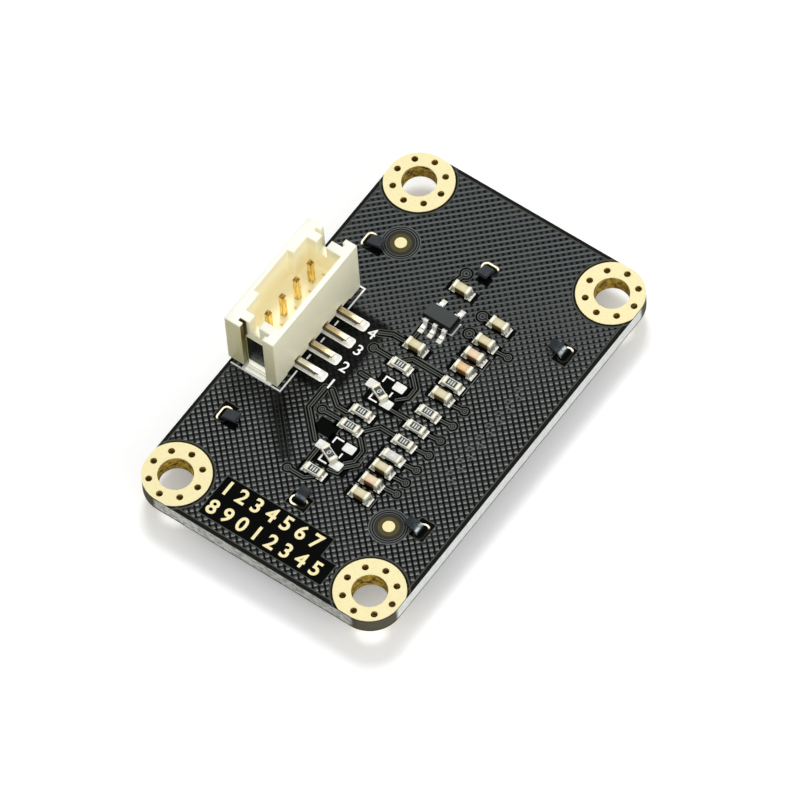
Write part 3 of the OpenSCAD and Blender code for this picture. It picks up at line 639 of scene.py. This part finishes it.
def board_finish():
    """Black solder mask over hatched copper, with pale cut edges, painted highlights and painted
    shadows
    """
    finish = Finish("solder_mask", Specular_IOR_Level=0.015)
    tints = colours()
    spot = finish.place()
    x, y, z = finish.axes(spot)
    cloud = finish.noise(spot, 0.35, 2.0)
    fine = finish.noise(spot, 11.0, 2.0)
    component_side = z.above(BOARD_MIDDLE, 0.1)
    top, relief, dash = hatch_tones(finish, x, y, fine)
    # Painted shadow of the housing, darker before the header's end
    shade = component_side * x.below(-4.6, 0.6) * y.below(-3.6, 0.8) * (y + x * 0.7).above(-14.2, 0.8)
    top = finish.mix(shade * (0.45 - dash * 0.3), top, tints.mask_pit)
    # A dark strip of covered tracks that leads away from the header's corner, by how far a place
    # is off its middle line and along it
    off = x * 0.734 + y * 0.679 + 9.93
    along = x * 0.679 - y * 0.734
    strip = component_side * off.band(0.0, 0.62, 0.34) * along.band(2.6, 3.4, 0.6)
    threads = sum(off.band(middle, 0.03, 0.05) for middle in (-0.3, 0.0, 0.3)).least(1.0)
    thread_tone = finish.mix(threads * 0.9, tints.mask_pit, (0.040, 0.047, 0.036))
    top = finish.mix(strip * 0.90, top, thread_tone)
    # Painted shadow of the housing, dark between the header's legs
    legs = component_side * x.below(-3.4, 0.4) * abs(y).below(4.3, 0.3)
    top = finish.mix(legs * 0.95, top, tints.mask_pit)
    top = finish.mix((cloud - 0.5) * 0.6 + (fine - 0.5) * 0.5, top, (0.09, 0.09, 0.09))
    # The bare border along the board's edge and round the mounting holes, with its fine line
    edge = edge_distance(x, y)
    hole_x = abs(x) - HOLES[0]
    hole_y = abs(y) - HOLES[1]
    ring = (hole_x * hole_x + hole_y * hole_y).root()
    pour = edge.above(POUR_BORDER, 0.03) * ring.above(HOLE_BORDER, 0.03)
    # The rim is a painted highlight along the copper's edge
    rim = edge.band(POUR_BORDER - 0.06, 0.05, 0.03) + ring.band(HOLE_BORDER - 0.08, 0.06, 0.04)
    top = finish.mix(1 - pour, top, (0.008, 0.009, 0.008))
    top = finish.mix(rim.least(1.0) * 0.6, top, (0.13, 0.13, 0.10))
    # Round windows in the mask about the two alignment marks
    left = square_from(x, y, -MARK[0], MARK[1])
    right = square_from(x, y, MARK[0], -MARK[1])
    reach = left.least(right).root()
    window = reach.below(MARK_WINDOW, 0.02) * component_side
    top = finish.mix(window, top, (0.010, 0.011, 0.011))
    top = finish.mix(reach.below(MARK_RINGS[0], 0.04), top, (0.042, 0.040, 0.032))
    top = finish.mix(reach.below(MARK_RINGS[1], 0.05), top, (0.10, 0.085, 0.035))
    lines = sum(reach.band(radius, half, 0.03) for radius, half in MARK_LINES).least(1.0)
    top = finish.mix(lines * 0.8, top, (0.17, 0.18, 0.17))
    side = z.below(-0.001, 0.0005) * z.above(BOARD_UNDERSIDE + 0.001, 0.0005)
    finish.set(Base_Color=finish.mix(side, top, cut_edge_tones(finish, spot)),
               Roughness=0.38 + side * 0.35 + fine * 0.08,
               Normal=finish.bump(relief * pour * (1 - window) * (1 - side) + fine * 0.25, 0.012))
    return finish


def hatch_tones(finish, x, y, fine):
    """The mask over the hatched copper, its relief, and the bright dashes in it, which are painted
    highlights
    """
    tints = colours()
    root = math.sqrt(2) * sizes().hatch_pitch
    across, down = sizes().hatch_phase
    u = (x + y) / root
    v = (y - x) / root
    grain = (fine - 0.5) * 1.6
    # Toward the back corner: dark openings in pale copper, and painted highlights where light grazes
    # it
    pit = u.wave(across).above(0.05, 0.25) * v.wave(down - 0.05).above(-0.1, 0.25)
    groove = v.wave(down - 0.05).above(0.6, 0.3) * 0.2
    row = v.wave(down + 0.45).above(0.55, 0.4)
    back = finish.mix(row * (0.42 + grain), tints.mask_line, tints.mask_glint)
    back = finish.mix(pit.most(groove), back, tints.mask_pit)
    # Toward the front corner: bright dashes, painted highlights, between dark bars
    bar = u.wave(across).above(0.30, 0.40)
    dash = v.wave(down + 0.05).above(0.60, 0.30)
    second = v.wave(down + 0.36).above(0.80, 0.25)
    front = finish.mix(dash * (0.9 + grain), tints.mask, [c * 1.25 for c in tints.mask_glint])
    front = finish.mix(second * 0.40, front, tints.mask_glint)
    front = finish.mix(bar, front, tints.mask_pit)
    # Painted light: the pattern with glints takes over toward the back left corner
    upper = (y * 0.71 - x * 0.48).above(3.5, 6.5)
    return finish.mix(upper, front, back), dash - pit * 1.4, dash


def edge_distance(x, y):
    """Distance in from the board's rounded edge"""
    half_width = BOARD_CORNER.x - CORNER_RADIUS
    half_length = BOARD_CORNER.y - CORNER_RADIUS
    across = (abs(x) - half_width).most(0.0)
    along = (abs(y) - half_length).most(0.0)
    outside = (across * across + along * along).root()
    inside = (abs(x) - half_width).most(abs(y) - half_length).least(0.0)
    return CORNER_RADIUS - outside - inside


def square_from(x, y, place_x, place_y):
    """Square of the distance from a place on the board"""
    return (x - place_x) * (x - place_x) + (y - place_y) * (y - place_y)


def cut_edge_tones(finish, spot):
    """Pale fibre between two dark lines, darker and blotched at the short ends and darker at the
    corners
    """
    fibre_tone = colours().fibre
    x, y, z = finish.axes(spot)
    fibre = finish.noise(finish.place((1.0, 1.0, 9.0)), 2.2, 3.0)
    speck = finish.noise(spot, 7.0, 3.0, 0.7)
    coarse = finish.noise(finish.place((1.0, 1.0, 1.6)), 1.9, 4.0, 0.7).above(0.52, 0.09)
    wall = finish.mix(fibre * 0.6 + speck * 0.6, [c * 0.55 for c in fibre_tone], fibre_tone)
    wall = finish.mix(coarse * 0.22, wall, [c * 0.45 for c in fibre_tone])
    short = abs(y).above(BOARD_CORNER.y - 0.06, 0.04)
    short_end_darkening = 0.10 + speck * 0.3 + coarse * 0.40 + x.above(-2.0, 5.0) * 0.14
    wall = finish.mix(short * short_end_darkening, wall, (0.17, 0.175, 0.12))
    corner_x = abs(x).above(BOARD_CORNER.x - CORNER_RADIUS + 0.15, 0.25)
    corner_y = abs(y).above(BOARD_CORNER.y - CORNER_RADIUS + 0.15, 0.25)
    corner_tone = finish.mix(speck, (0.10, 0.085, 0.035), (0.02, 0.018, 0.012))
    wall = finish.mix(corner_x * corner_y * 0.93, wall, corner_tone)
    line = z.above(EDGE_LINES[0], 0.05) + z.below(EDGE_LINES[1], 0.05)
    return finish.mix(line, wall, (0.02, 0.02, 0.018))


# -------- modelling tools

def clear_selection():
    if bpy.context.object and bpy.context.object.mode != "OBJECT":
        bpy.ops.object.mode_set(mode="OBJECT")
    bpy.ops.object.select_all(action="DESELECT")


def pick(piece):
    """Selects one piece alone"""
    clear_selection()
    piece.select_set(True)
    bpy.context.view_layer.objects.active = piece


def rename(piece, name):
    piece.name = piece.data.name = name


def settle(piece):
    """Moves a piece's place, turn and size into its mesh"""
    pick(piece)
    bpy.ops.object.transform_apply(location=True, rotation=True, scale=True)


def round_edges(piece, width, steps):
    """Bevels a piece's sharp edges and smooths its shading across the bevels"""
    pick(piece)
    bevel = piece.modifiers.new("edge", "BEVEL")
    bevel.width = width
    bevel.segments = steps
    bevel.limit_method = "ANGLE"
    bevel.angle_limit = math.radians(35)
    bpy.ops.object.modifier_apply(modifier="edge")
    bpy.ops.object.shade_smooth_by_angle(angle=math.radians(50))


def block(name, size, edge, steps, middle=(0, 0, 0)):
    """A box with rounded edges"""
    clear_selection()
    bpy.ops.mesh.primitive_cube_add(size=1, location=middle, scale=size)
    piece = bpy.context.object
    rename(piece, name)
    settle(piece)
    round_edges(piece, edge, steps)
    return piece


def join(pieces, name):
    """Makes several pieces one"""
    pick(pieces[0])
    for piece in pieces:
        piece.select_set(True)
    bpy.ops.object.join()
    rename(pieces[0], name)
    return pieces[0]


def laid_copy(model, name, middle, turn=0.0):
    """A copy, with its own mesh, of what was modelled at the origin, laid at its place"""
    piece = model.copy()
    piece.data = model.data.copy()
    rename(piece, name)
    bpy.context.collection.objects.link(piece)
    piece.location = middle
    piece.rotation_euler = (0, 0, turn)
    settle(piece)
    return piece


def discard(model):
    """Deletes a model once its copies are laid"""
    pick(model)
    bpy.ops.object.delete()


def round_spot(middle, width):
    """One round spot of a film"""
    return "spot", middle, 0.0, (width, width)


def rectangle(middle, size, turn=0.0):
    """One rectangle of a film"""
    return "rectangle", middle, turn, size


def route_strips(points, width):
    """Straight strips through a route's points, with a round spot at each of them"""
    for start, end in zip(points, points[1:]):
        run = Vector(end) - Vector(start)
        middle = (Vector(start) + Vector(end)) / 2
        yield rectangle(middle, (run.length, width), math.atan2(run.y, run.x))
    for point in points:
        yield round_spot(point, width)


def film(name, height, shapes):
    """A thin layer on the board's face, added shape by shape in edit mode; lengths in mm"""
    clear_selection()
    for kind, middle, turn, size in shapes:
        where = Vector((*middle[:2], height / 2)) * MM
        if kind == "spot":
            # A little lower than the strips, so that no two faces share a plane
            where.z -= 0.0005 * MM
            bpy.ops.mesh.primitive_cylinder_add(vertices=16, radius=size[0] / 2 * MM,
                                                depth=height * MM, location=where)
        else:
            bpy.ops.mesh.primitive_cube_add(size=1, location=where, rotation=(0, 0, turn),
                                            scale=(size[0] * MM, size[1] * MM, height * MM))
        if bpy.context.mode == "OBJECT":
            piece = bpy.context.object
            rename(piece, name)
            settle(piece)
            bpy.ops.object.mode_set(mode="EDIT")
    bpy.ops.object.mode_set(mode="OBJECT")
    return piece


def lettering(name, text, left, height, bold):
    """Plain digits on the board, read along +X, from their lower left corner in mm"""
    clear_selection()
    bpy.ops.object.text_add(location=(0, 0, 0))
    outline = bpy.context.object.data
    outline.body = text
    outline.size = height
    outline.extrude = PRINT_HEIGHT / 2 * MM
    outline.offset = bold * MM
    outline.resolution_u = 4
    bpy.ops.object.convert(target="MESH")
    piece = bpy.context.object
    piece.location = Vector((*left, PRINT_HEIGHT / 2)) * MM
    rename(piece, name)
    settle(piece)
    return piece


def cad_copy(node, name):
    """A welded copy of a CAD node's mesh, with its flat faces whole"""
    clear_selection()
    piece = bpy.data.objects.new(name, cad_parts[node].data.copy())
    bpy.context.collection.objects.link(piece)
    pick(piece)
    bpy.ops.object.mode_set(mode="EDIT")
    bpy.ops.mesh.select_all(action="SELECT")
    bpy.ops.mesh.remove_doubles(threshold=0.0001 * MM)
    bpy.ops.mesh.dissolve_limited(angle_limit=math.radians(1))
    bpy.ops.object.mode_set(mode="OBJECT")
    return piece


def dress(piece, finish, slot, *nodes):
    """Gives a finished piece its material and body and hides the CAD nodes it stands for; slot is not
    used
    """
    piece.data.materials.clear()
    piece.data.materials.append(finish.material)
    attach(piece, "root")
    if nodes:
        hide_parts(*nodes)


def node_middle(node):
    """The middle of a CAD node's box, in metres"""
    low, high = (Vector(corner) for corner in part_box(node))
    return (low + high) / 2


def numbered(prefix, count):
    """The names of a row of like nodes"""
    return [f"{prefix}_{i}" for i in range(1, count + 1)]


# -------- operators

class PieceOperator:
    bl_options = {"REGISTER", "UNDO"}


class MODULE_OT_board(PieceOperator, bpy.types.Operator):
    """Finish the circuit board, its gold rings, slots and marks"""
    bl_idname = "module.board"
    bl_label = "Circuit Board"

    def execute(self, context):
        put_on(board_finish(), "circuit_board")
        put_on(gold_finish(), *numbered("mounting_ring", 4), "alignment_marks", "flex_lands")
        put_on(slot_finish(), "slot_plating")
        put_on(plastic_finish("white_print", (0.93, 0.94, 0.93), 0.5), "printed_lines")
        return {"FINISHED"}


class MODULE_OT_tracks(PieceOperator, bpy.types.Operator):
    """Lay the covered copper tracks, vias and cut-away patches on the board, and painted edge
    highlights and prong shadows
    """
    bl_idname = "module.tracks"
    bl_label = "Tracks"

    def execute(self, context):
        gap = sizes().track_gap / MM
        line = sizes().edge_line / MM
        pour_lines = [shape for route in POUR_LINES for shape in route_strips(route, line * 1.2)]
        # The pour_edge and track_edge films are painted highlights along the copper's edges
        self.layer("pour_edge", 1, gap + line, (0.10, 0.105, 0.09), self.patches(2 * line))
        self.layer("track_clearance", 2, gap, (0.003, 0.0035, 0.003),
                   [*self.clearings(), *self.patches(0.0)])
        self.layer("track_edge", 3, 0.0, (0.14, 0.15, 0.135), pour_lines)
        self.layer("track_core", 4, -line, (0.024, 0.026, 0.025), [])
        self.vias()
        return {"FINISHED"}

    def layer(self, name, level, grow, tone, others):
        """One film: all tracks and pads, wider by grow on each side, and other shapes"""
        stubs = [((CHIP_ENDS, via[1] - 0.1), via) for via in RIGHT_VIAS]
        shapes = []
        for route in (*TRACKS, *stubs):
            shapes += route_strips(route, sizes().track_width / MM + 2 * grow)
        shapes += [round_spot(via, SMALL_PAD + 2 * grow) for via in (*RIGHT_VIAS, *SMALL_VIAS)]
        shapes += [round_spot(via, LARGE_PAD + 2 * grow) for via in LARGE_VIAS]
        shapes += others
        finish = plastic_finish(name, tone, 0.45, change=0.25, grain=9.0, gloss=0.004)
        dress(film(name, level * LAYER, shapes), finish, "solder_mask")

    def patches(self, rim):
        """The places without copper or hatch, each wider and longer by rim"""
        for x, y, width, length in (PATCH, *SLOT_WINDOWS, *NUMBER_PANEL):
            yield rectangle((x, y), (width + rim, length + rim))

    def clearings(self):
        """Dark bare places round the chips, and painted shadows beside the prongs"""
        for name in (*numbered("capacitor", 10), *numbered("resistor", 9)):
            low, high = corners(name)
            size = high - low
            yield rectangle((low + high) / 2, (size.x + CHIP_BORDER[0], size.y + CHIP_BORDER[1]))
        # The bridge patches, and dark patches painted as the prongs' shadows
        for x, y, width, length in (*BRIDGE_PATCHES, *PRONG_SHADOW_PATCHES):
            yield rectangle((x, y), (width, length))

    def vias(self):
        """Filled vias in two columns and in the middles of the others, and their hollows"""
        places = [((x, y - step * k), LARGE_VIA)
                  for x, y, step in VIA_COLUMNS for k in range(VIAS_A_COLUMN)]
        places += [(via, SMALL_VIA) for via in (*RIGHT_VIAS, *SMALL_VIAS)]
        places += [(via, LARGE_VIA) for via in LARGE_VIAS]
        fill = plastic_finish("via_mask", (0.095, 0.105, 0.095), 0.35,
                              change=0.3, grain=5.0, gloss=0.05)
        spots = [round_spot(*place) for place in places]
        dress(film("filled_vias", height=0.034, shapes=spots), fill, "solder_mask")
        dark = plastic_finish("hollow_mask", (0.020, 0.024, 0.021), 0.4,
                              change=0.3, grain=5.0, gloss=0.02)
        hollows = [round_spot(place, width * 0.55) for place, width in places]
        dress(film("via_hollows", height=0.041, shapes=hollows), dark, "solder_mask")


class MODULE_OT_numbers(PieceOperator, bpy.types.Operator):
    """Print plain numbers: one beside each pin, and two gold rows in the bare panel"""
    bl_idname = "module.numbers"
    bl_label = "Numbers"

    def execute(self, context):
        white = plastic_finish("number_print", (0.93, 0.94, 0.93), 0.5)
        for i, y in enumerate(PIN_NUMBERS_Y, 1):
            digit = lettering(f"pin_number_{i}", str(i), (PIN_NUMBERS_X, y),
                              sizes().number_height, bold=0.012)
            dress(digit, white, "white_print")
        gold = gold_finish()
        for i, (text, left) in enumerate(GOLD_ROWS, 1):
            row = lettering(f"gold_numbers_{i}", text, left, sizes().gold_number_height, bold=0.045)
            dress(row, gold, "gold_plating")
        return {"FINISHED"}


class MODULE_OT_header(PieceOperator, bpy.types.Operator):
    """Round the header housing's edges and finish it, its pins and its tabs"""
    bl_idname = "module.header"
    bl_label = "Cable Header"

    def execute(self, context):
        housing = cad_copy("header_housing", "moulded_housing")
        round_edges(housing, sizes().housing_edge, steps=2)
        dress(housing, housing_finish(), "ivory_nylon", "header_housing")
        put_on(wire_finish(), *numbered("header_pin", 4))
        put_on(tab_finish(), *numbered("hold_down_tab", 2))
        return {"FINISHED"}


class MODULE_OT_solder(PieceOperator, bpy.types.Operator):
    """Soften the solder on the lands and at the chips' ends"""
    bl_idname = "module.solder"
    bl_label = "Solder"

    def execute(self, context):
        # One solder in lighter and darker copies, painted light: the header's lands are painted
        # whitest where the housing's shadow falls
        header = metal_finish("land_solder", (0.93, 0.93, 0.86), (1.0, 1.0, 0.95), 0.42,
                              metallic=0.05, bump=0.012)
        regulator = metal_finish("bright_solder", (0.66, 0.65, 0.57), (0.82, 0.81, 0.73), 0.42,
                                 metallic=0.1, bump=0.012)
        bridge = metal_finish("pad_solder", (0.70, 0.70, 0.67), (1.0, 0.99, 0.95), 0.40,
                              grain=7.0, metallic=0.05, bump=0.02)
        for node, edge, finish in (("header_lands", 0.02, header),
                                   ("regulator_lands", 0.02, regulator),
                                   ("jumper_lands", 0.03, bridge),
                                   ("solder_joints", 0.05, joint_finish())):
            piece = cad_copy(node, f"soft_{node}")
            round_edges(piece, edge * MM, steps=2)
            dress(piece, finish, "solder", node)
        return {"FINISHED"}


class MODULE_OT_capacitors(PieceOperator, bpy.types.Operator):
    """Model the chip capacitors with rounded ceramic, and wrap the chips' metal ends"""
    bl_idname = "module.capacitors"
    bl_label = "Capacitors"

    def execute(self, context):
        # Each ceramic is painted paler on top and darker down its sides, a painted shade
        tan, pink, orange = (
            chip_finish("fired_ceramic_0", (0.60, 0.53, 0.29), (0.13, 0.08, 0.02)),
            chip_finish("fired_ceramic_1", (0.74, 0.53, 0.33), (0.20, 0.09, 0.03)),
            chip_finish("fired_ceramic_2", (0.68, 0.42, 0.18), (0.22, 0.09, 0.02)))
        bodies = (tan, tan, tan, tan, pink, orange, tan, tan, pink, tan)
        low, high = (Vector(corner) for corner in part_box("capacitor_1"))
        model = block("ceramic", high - low, sizes().chip_edge, steps=3)
        for i, (node, finish) in enumerate(zip(numbered("capacitor", 10), bodies), 1):
            piece = laid_copy(model, f"ceramic_{i}", node_middle(node))
            dress(piece, finish, "capacitor_ceramic", node)
        discard(model)
        metal = metal_finish("chip_ends", (0.62, 0.60, 0.48), (0.80, 0.77, 0.60), 0.40, metallic=0.15)
        for node in ("capacitor_ends", "resistor_ends"):
            piece = cad_copy(node, f"soft_{node}")
            round_edges(piece, width=0.05 * MM, steps=2)
            dress(piece, metal, "tin", node)
        return {"FINISHED"}


class MODULE_OT_resistors(PieceOperator, bpy.types.Operator):
    """Finish the chip resistors and bridges, with glaze and plain marks on their tops"""
    bl_idname = "module.resistors"
    bl_label = "Resistors"

    def execute(self, context):
        white = plastic_finish("white_alumina", (0.74, 0.75, 0.68), 0.5, change=0.08)
        put_on(white, *numbered("resistor", 9), *numbered("jumper_resistor", 2))
        dark = plastic_finish("resistor_glaze", (0.060, 0.065, 0.056), 0.3,
                              change=0.5, grain=12.0, gloss=0.15)
        pale = plastic_finish("pale_glaze", (0.62, 0.63, 0.58), 0.35, change=0.1, grain=12.0)
        ink = plastic_finish("mark_ink", (0.80, 0.83, 0.77), 0.5)
        glaze = block("glaze", Vector((0.92, 0.58, 0.03)) * MM, edge=0.012 * MM, steps=2)
        ticks = self.ticks()
        ring = self.ring()
        aslant = -math.atan2(BRIDGE_SPAN[1], BRIDGE_SPAN[0])
        for node in numbered("resistor", 8):
            self.cover(node, "glaze", glaze, dark)
            self.cover(node, "marks", ticks, ink)
        for node in numbered("jumper_resistor", 2):
            self.cover(node, "glaze", glaze, dark, aslant)
            self.cover(node, "marks", ring, ink, aslant)
        self.cover("resistor_9", "glaze", glaze, pale)
        for model in (glaze, ticks, ring):
            discard(model)
        return {"FINISHED"}

    def ticks(self):
        """Three plain ticks side by side"""
        size = Vector((0.10, 0.42, 0.012)) * MM
        pitch = 0.24 * MM
        return join([block("tick", size, edge=0.003 * MM, steps=1, middle=(k * pitch, 0, 0))
                     for k in (-1, 0, 1)], "ticks")

    def ring(self):
        """A flat oval ring"""
        clear_selection()
        bpy.ops.mesh.primitive_torus_add(major_radius=0.16 * MM, minor_radius=0.035 * MM,
                                         major_segments=24, minor_segments=8)
        bpy.ops.object.mode_set(mode="EDIT")
        bpy.ops.transform.resize(value=(0.75, 1.15, 0.25))
        bpy.ops.object.mode_set(mode="OBJECT")
        return bpy.context.object

    def cover(self, node, part, model, finish, turn=0.0):
        """A copy of the glaze or of the marks, laid at its height over one chip's top"""
        slot, rise = {"glaze": ("resistor_ceramic", 0.012), "marks": ("white_print", 0.028)}[part]
        middle = node_middle(node)
        middle.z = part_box(node)[1][2] + rise * MM
        dress(laid_copy(model, f"{node}_{part}", middle, turn), finish, slot)


class MODULE_OT_regulator(PieceOperator, bpy.types.Operator):
    """Finish the regulator's body and its leads"""
    bl_idname = "module.regulator"
    bl_label = "Regulator"

    def execute(self, context):
        # The body's sides are painted darker than its top, a painted shade
        put_on(chip_finish("mould_compound", (0.052, 0.060, 0.056), (0.006, 0.007, 0.007),
                           height=corners("regulator_body")[1].z, gloss=0.05, mottle=0.9),
               "regulator_body")
        put_on(metal_finish("lead_tin", (0.60, 0.59, 0.54), (0.88, 0.88, 0.84), 0.35,
                            metallic=0.2, bump=0.01), "regulator_leads")
        return {"FINISHED"}


class MODULE_OT_panel(PieceOperator, bpy.types.Operator):
    """Finish the display panel and the folded bezel under the board"""
    bl_idname = "module.panel"
    bl_label = "Display Panel"

    def execute(self, context):
        put_on(sheet_finish(), "display_bezel")
        put_on(metal_finish("panel_glass", (0.04, 0.05, 0.055), (0.055, 0.065, 0.07), 0.08,
                            grain=2.0, metallic=0.0), "front_glass", "rear_glass", "polariser")
        put_on(plastic_finish("flex_film", (0.55, 0.28, 0.07), 0.35), "flex_tail")
        put_on(plastic_finish("dark_foam", (0.03, 0.03, 0.03), 0.9, change=0.2, grain=6.0, bump=0.05),
               "foam_pad")
        put_on(metal_finish("polished_die", (0.10, 0.10, 0.12), (0.16, 0.16, 0.2), 0.1), "driver_chip")
        return {"FINISHED"}


class MODULE_OT_stage(PieceOperator, bpy.types.Operator):
    """Set the floor, the soft studio lights and the camera"""
    bl_idname = "module.stage"
    bl_label = "Stage"

    def execute(self, context):
        self.floor()
        self.world()
        for name, place, size, power in LAMPS:
            bpy.ops.object.light_add(type="AREA", location=place)
            lamp = bpy.context.object
            lamp.name = name
            lamp.data.size = size
            lamp.data.energy = power
            lamp.rotation_euler = Vector(place).to_track_quat("Z", "Y").to_euler()
        right, up = Vector(CAMERA_RIGHT), Vector(CAMERA_UP)
        turn = Matrix((right, up, right.cross(up))).transposed()
        bpy.ops.object.camera_add(location=CAMERA_PLACE, rotation=turn.to_euler())
        camera = bpy.context.object
        camera.data.lens = CAMERA_LENS
        camera.data.sensor_width = 36.0
        camera.data.clip_start = 0.01
        camera.data.clip_end = 10.0
        context.scene.camera = camera
        return {"FINISHED"}

    def floor(self):
        """A pale floor, seen lighter than it lights the part"""
        clear_selection()
        bpy.ops.mesh.primitive_plane_add(size=3.0, location=(0, 0, CAD_BOX[0][2]))
        floor = bpy.context.object
        floor.name = "floor"
        settle(floor)
        pale = Finish("pale_floor", Roughness=0.9, Specular_IOR_Level=0.1)
        seen = pale.add("ShaderNodeLightPath", output="Is Camera Ray")
        pale.set(Base_Color=pale.mix(seen, (0.80, 0.80, 0.80), (0.97, 0.97, 0.97)),
                 Emission_Color=pale.mix(seen, (0, 0, 0), (0.22, 0.22, 0.22)),
                 Emission_Strength=1.0)
        floor.data.materials.append(pale.material)

    def world(self):
        """White for the camera and for reflections, and a soft grey light on everything"""
        world = bpy.data.worlds.new("studio")
        bpy.context.scene.world = world
        world.use_nodes = True
        nodes = Nodes(world.node_tree)
        seen = nodes.add("ShaderNodeLightPath", output="Is Camera Ray")
        shine = nodes.add("ShaderNodeLightPath", output="Is Glossy Ray")
        level = nodes.add("ShaderNodeMapRange", {}, {
            "Value": seen.most(shine), "To Min": WORLD_LIGHT, "To Max": 1.0})
        ground = nodes.tree.nodes["Background"]
        ground.inputs["Color"].default_value = (1.0, 1.0, 1.0, 1.0)
        nodes.tree.links.new(level.socket, ground.inputs["Strength"])


class MODULE_PT_pieces(bpy.types.Panel):
    """Lists the module's pieces, sizes and colours"""
    bl_label = "Display Module"
    bl_idname = "MODULE_PT_pieces"
    bl_space_type = "VIEW_3D"
    bl_region_type = "UI"
    bl_category = "Module"

    def draw(self, context):
        for group in (context.scene.module_sizes, context.scene.module_colours):
            box = self.layout.box()
            for key in group.__annotations__:
                box.prop(group, key)
        column = self.layout.column()
        for operator in PIECES:
            column.operator(operator.bl_idname)


PIECES = (MODULE_OT_board, MODULE_OT_tracks, MODULE_OT_numbers, MODULE_OT_header,
          MODULE_OT_solder, MODULE_OT_capacitors, MODULE_OT_resistors, MODULE_OT_regulator,
          MODULE_OT_panel, MODULE_OT_stage)
CLASSES = (ModuleSizes, ModuleColours, *PIECES, MODULE_PT_pieces)


def register():
    for entry in CLASSES:
        bpy.utils.register_class(entry)
    bpy.types.Scene.module_sizes = bpy.props.PointerProperty(type=ModuleSizes)
    bpy.types.Scene.module_colours = bpy.props.PointerProperty(type=ModuleColours)


def unregister():
    del bpy.types.Scene.module_colours
    del bpy.types.Scene.module_sizes
    for entry in reversed(CLASSES):
        bpy.utils.unregister_class(entry)


def main():
    register()
    bpy.context.scene.view_settings.view_transform = "Standard"
    bpy.ops.module.board()
    bpy.ops.module.tracks()
    bpy.ops.module.numbers()
    bpy.ops.module.header()
    bpy.ops.module.solder()
    bpy.ops.module.capacitors()
    bpy.ops.module.resistors()
    bpy.ops.module.regulator()
    bpy.ops.module.panel()
    bpy.ops.module.stage()


if __name__ == "__main__":
    main()
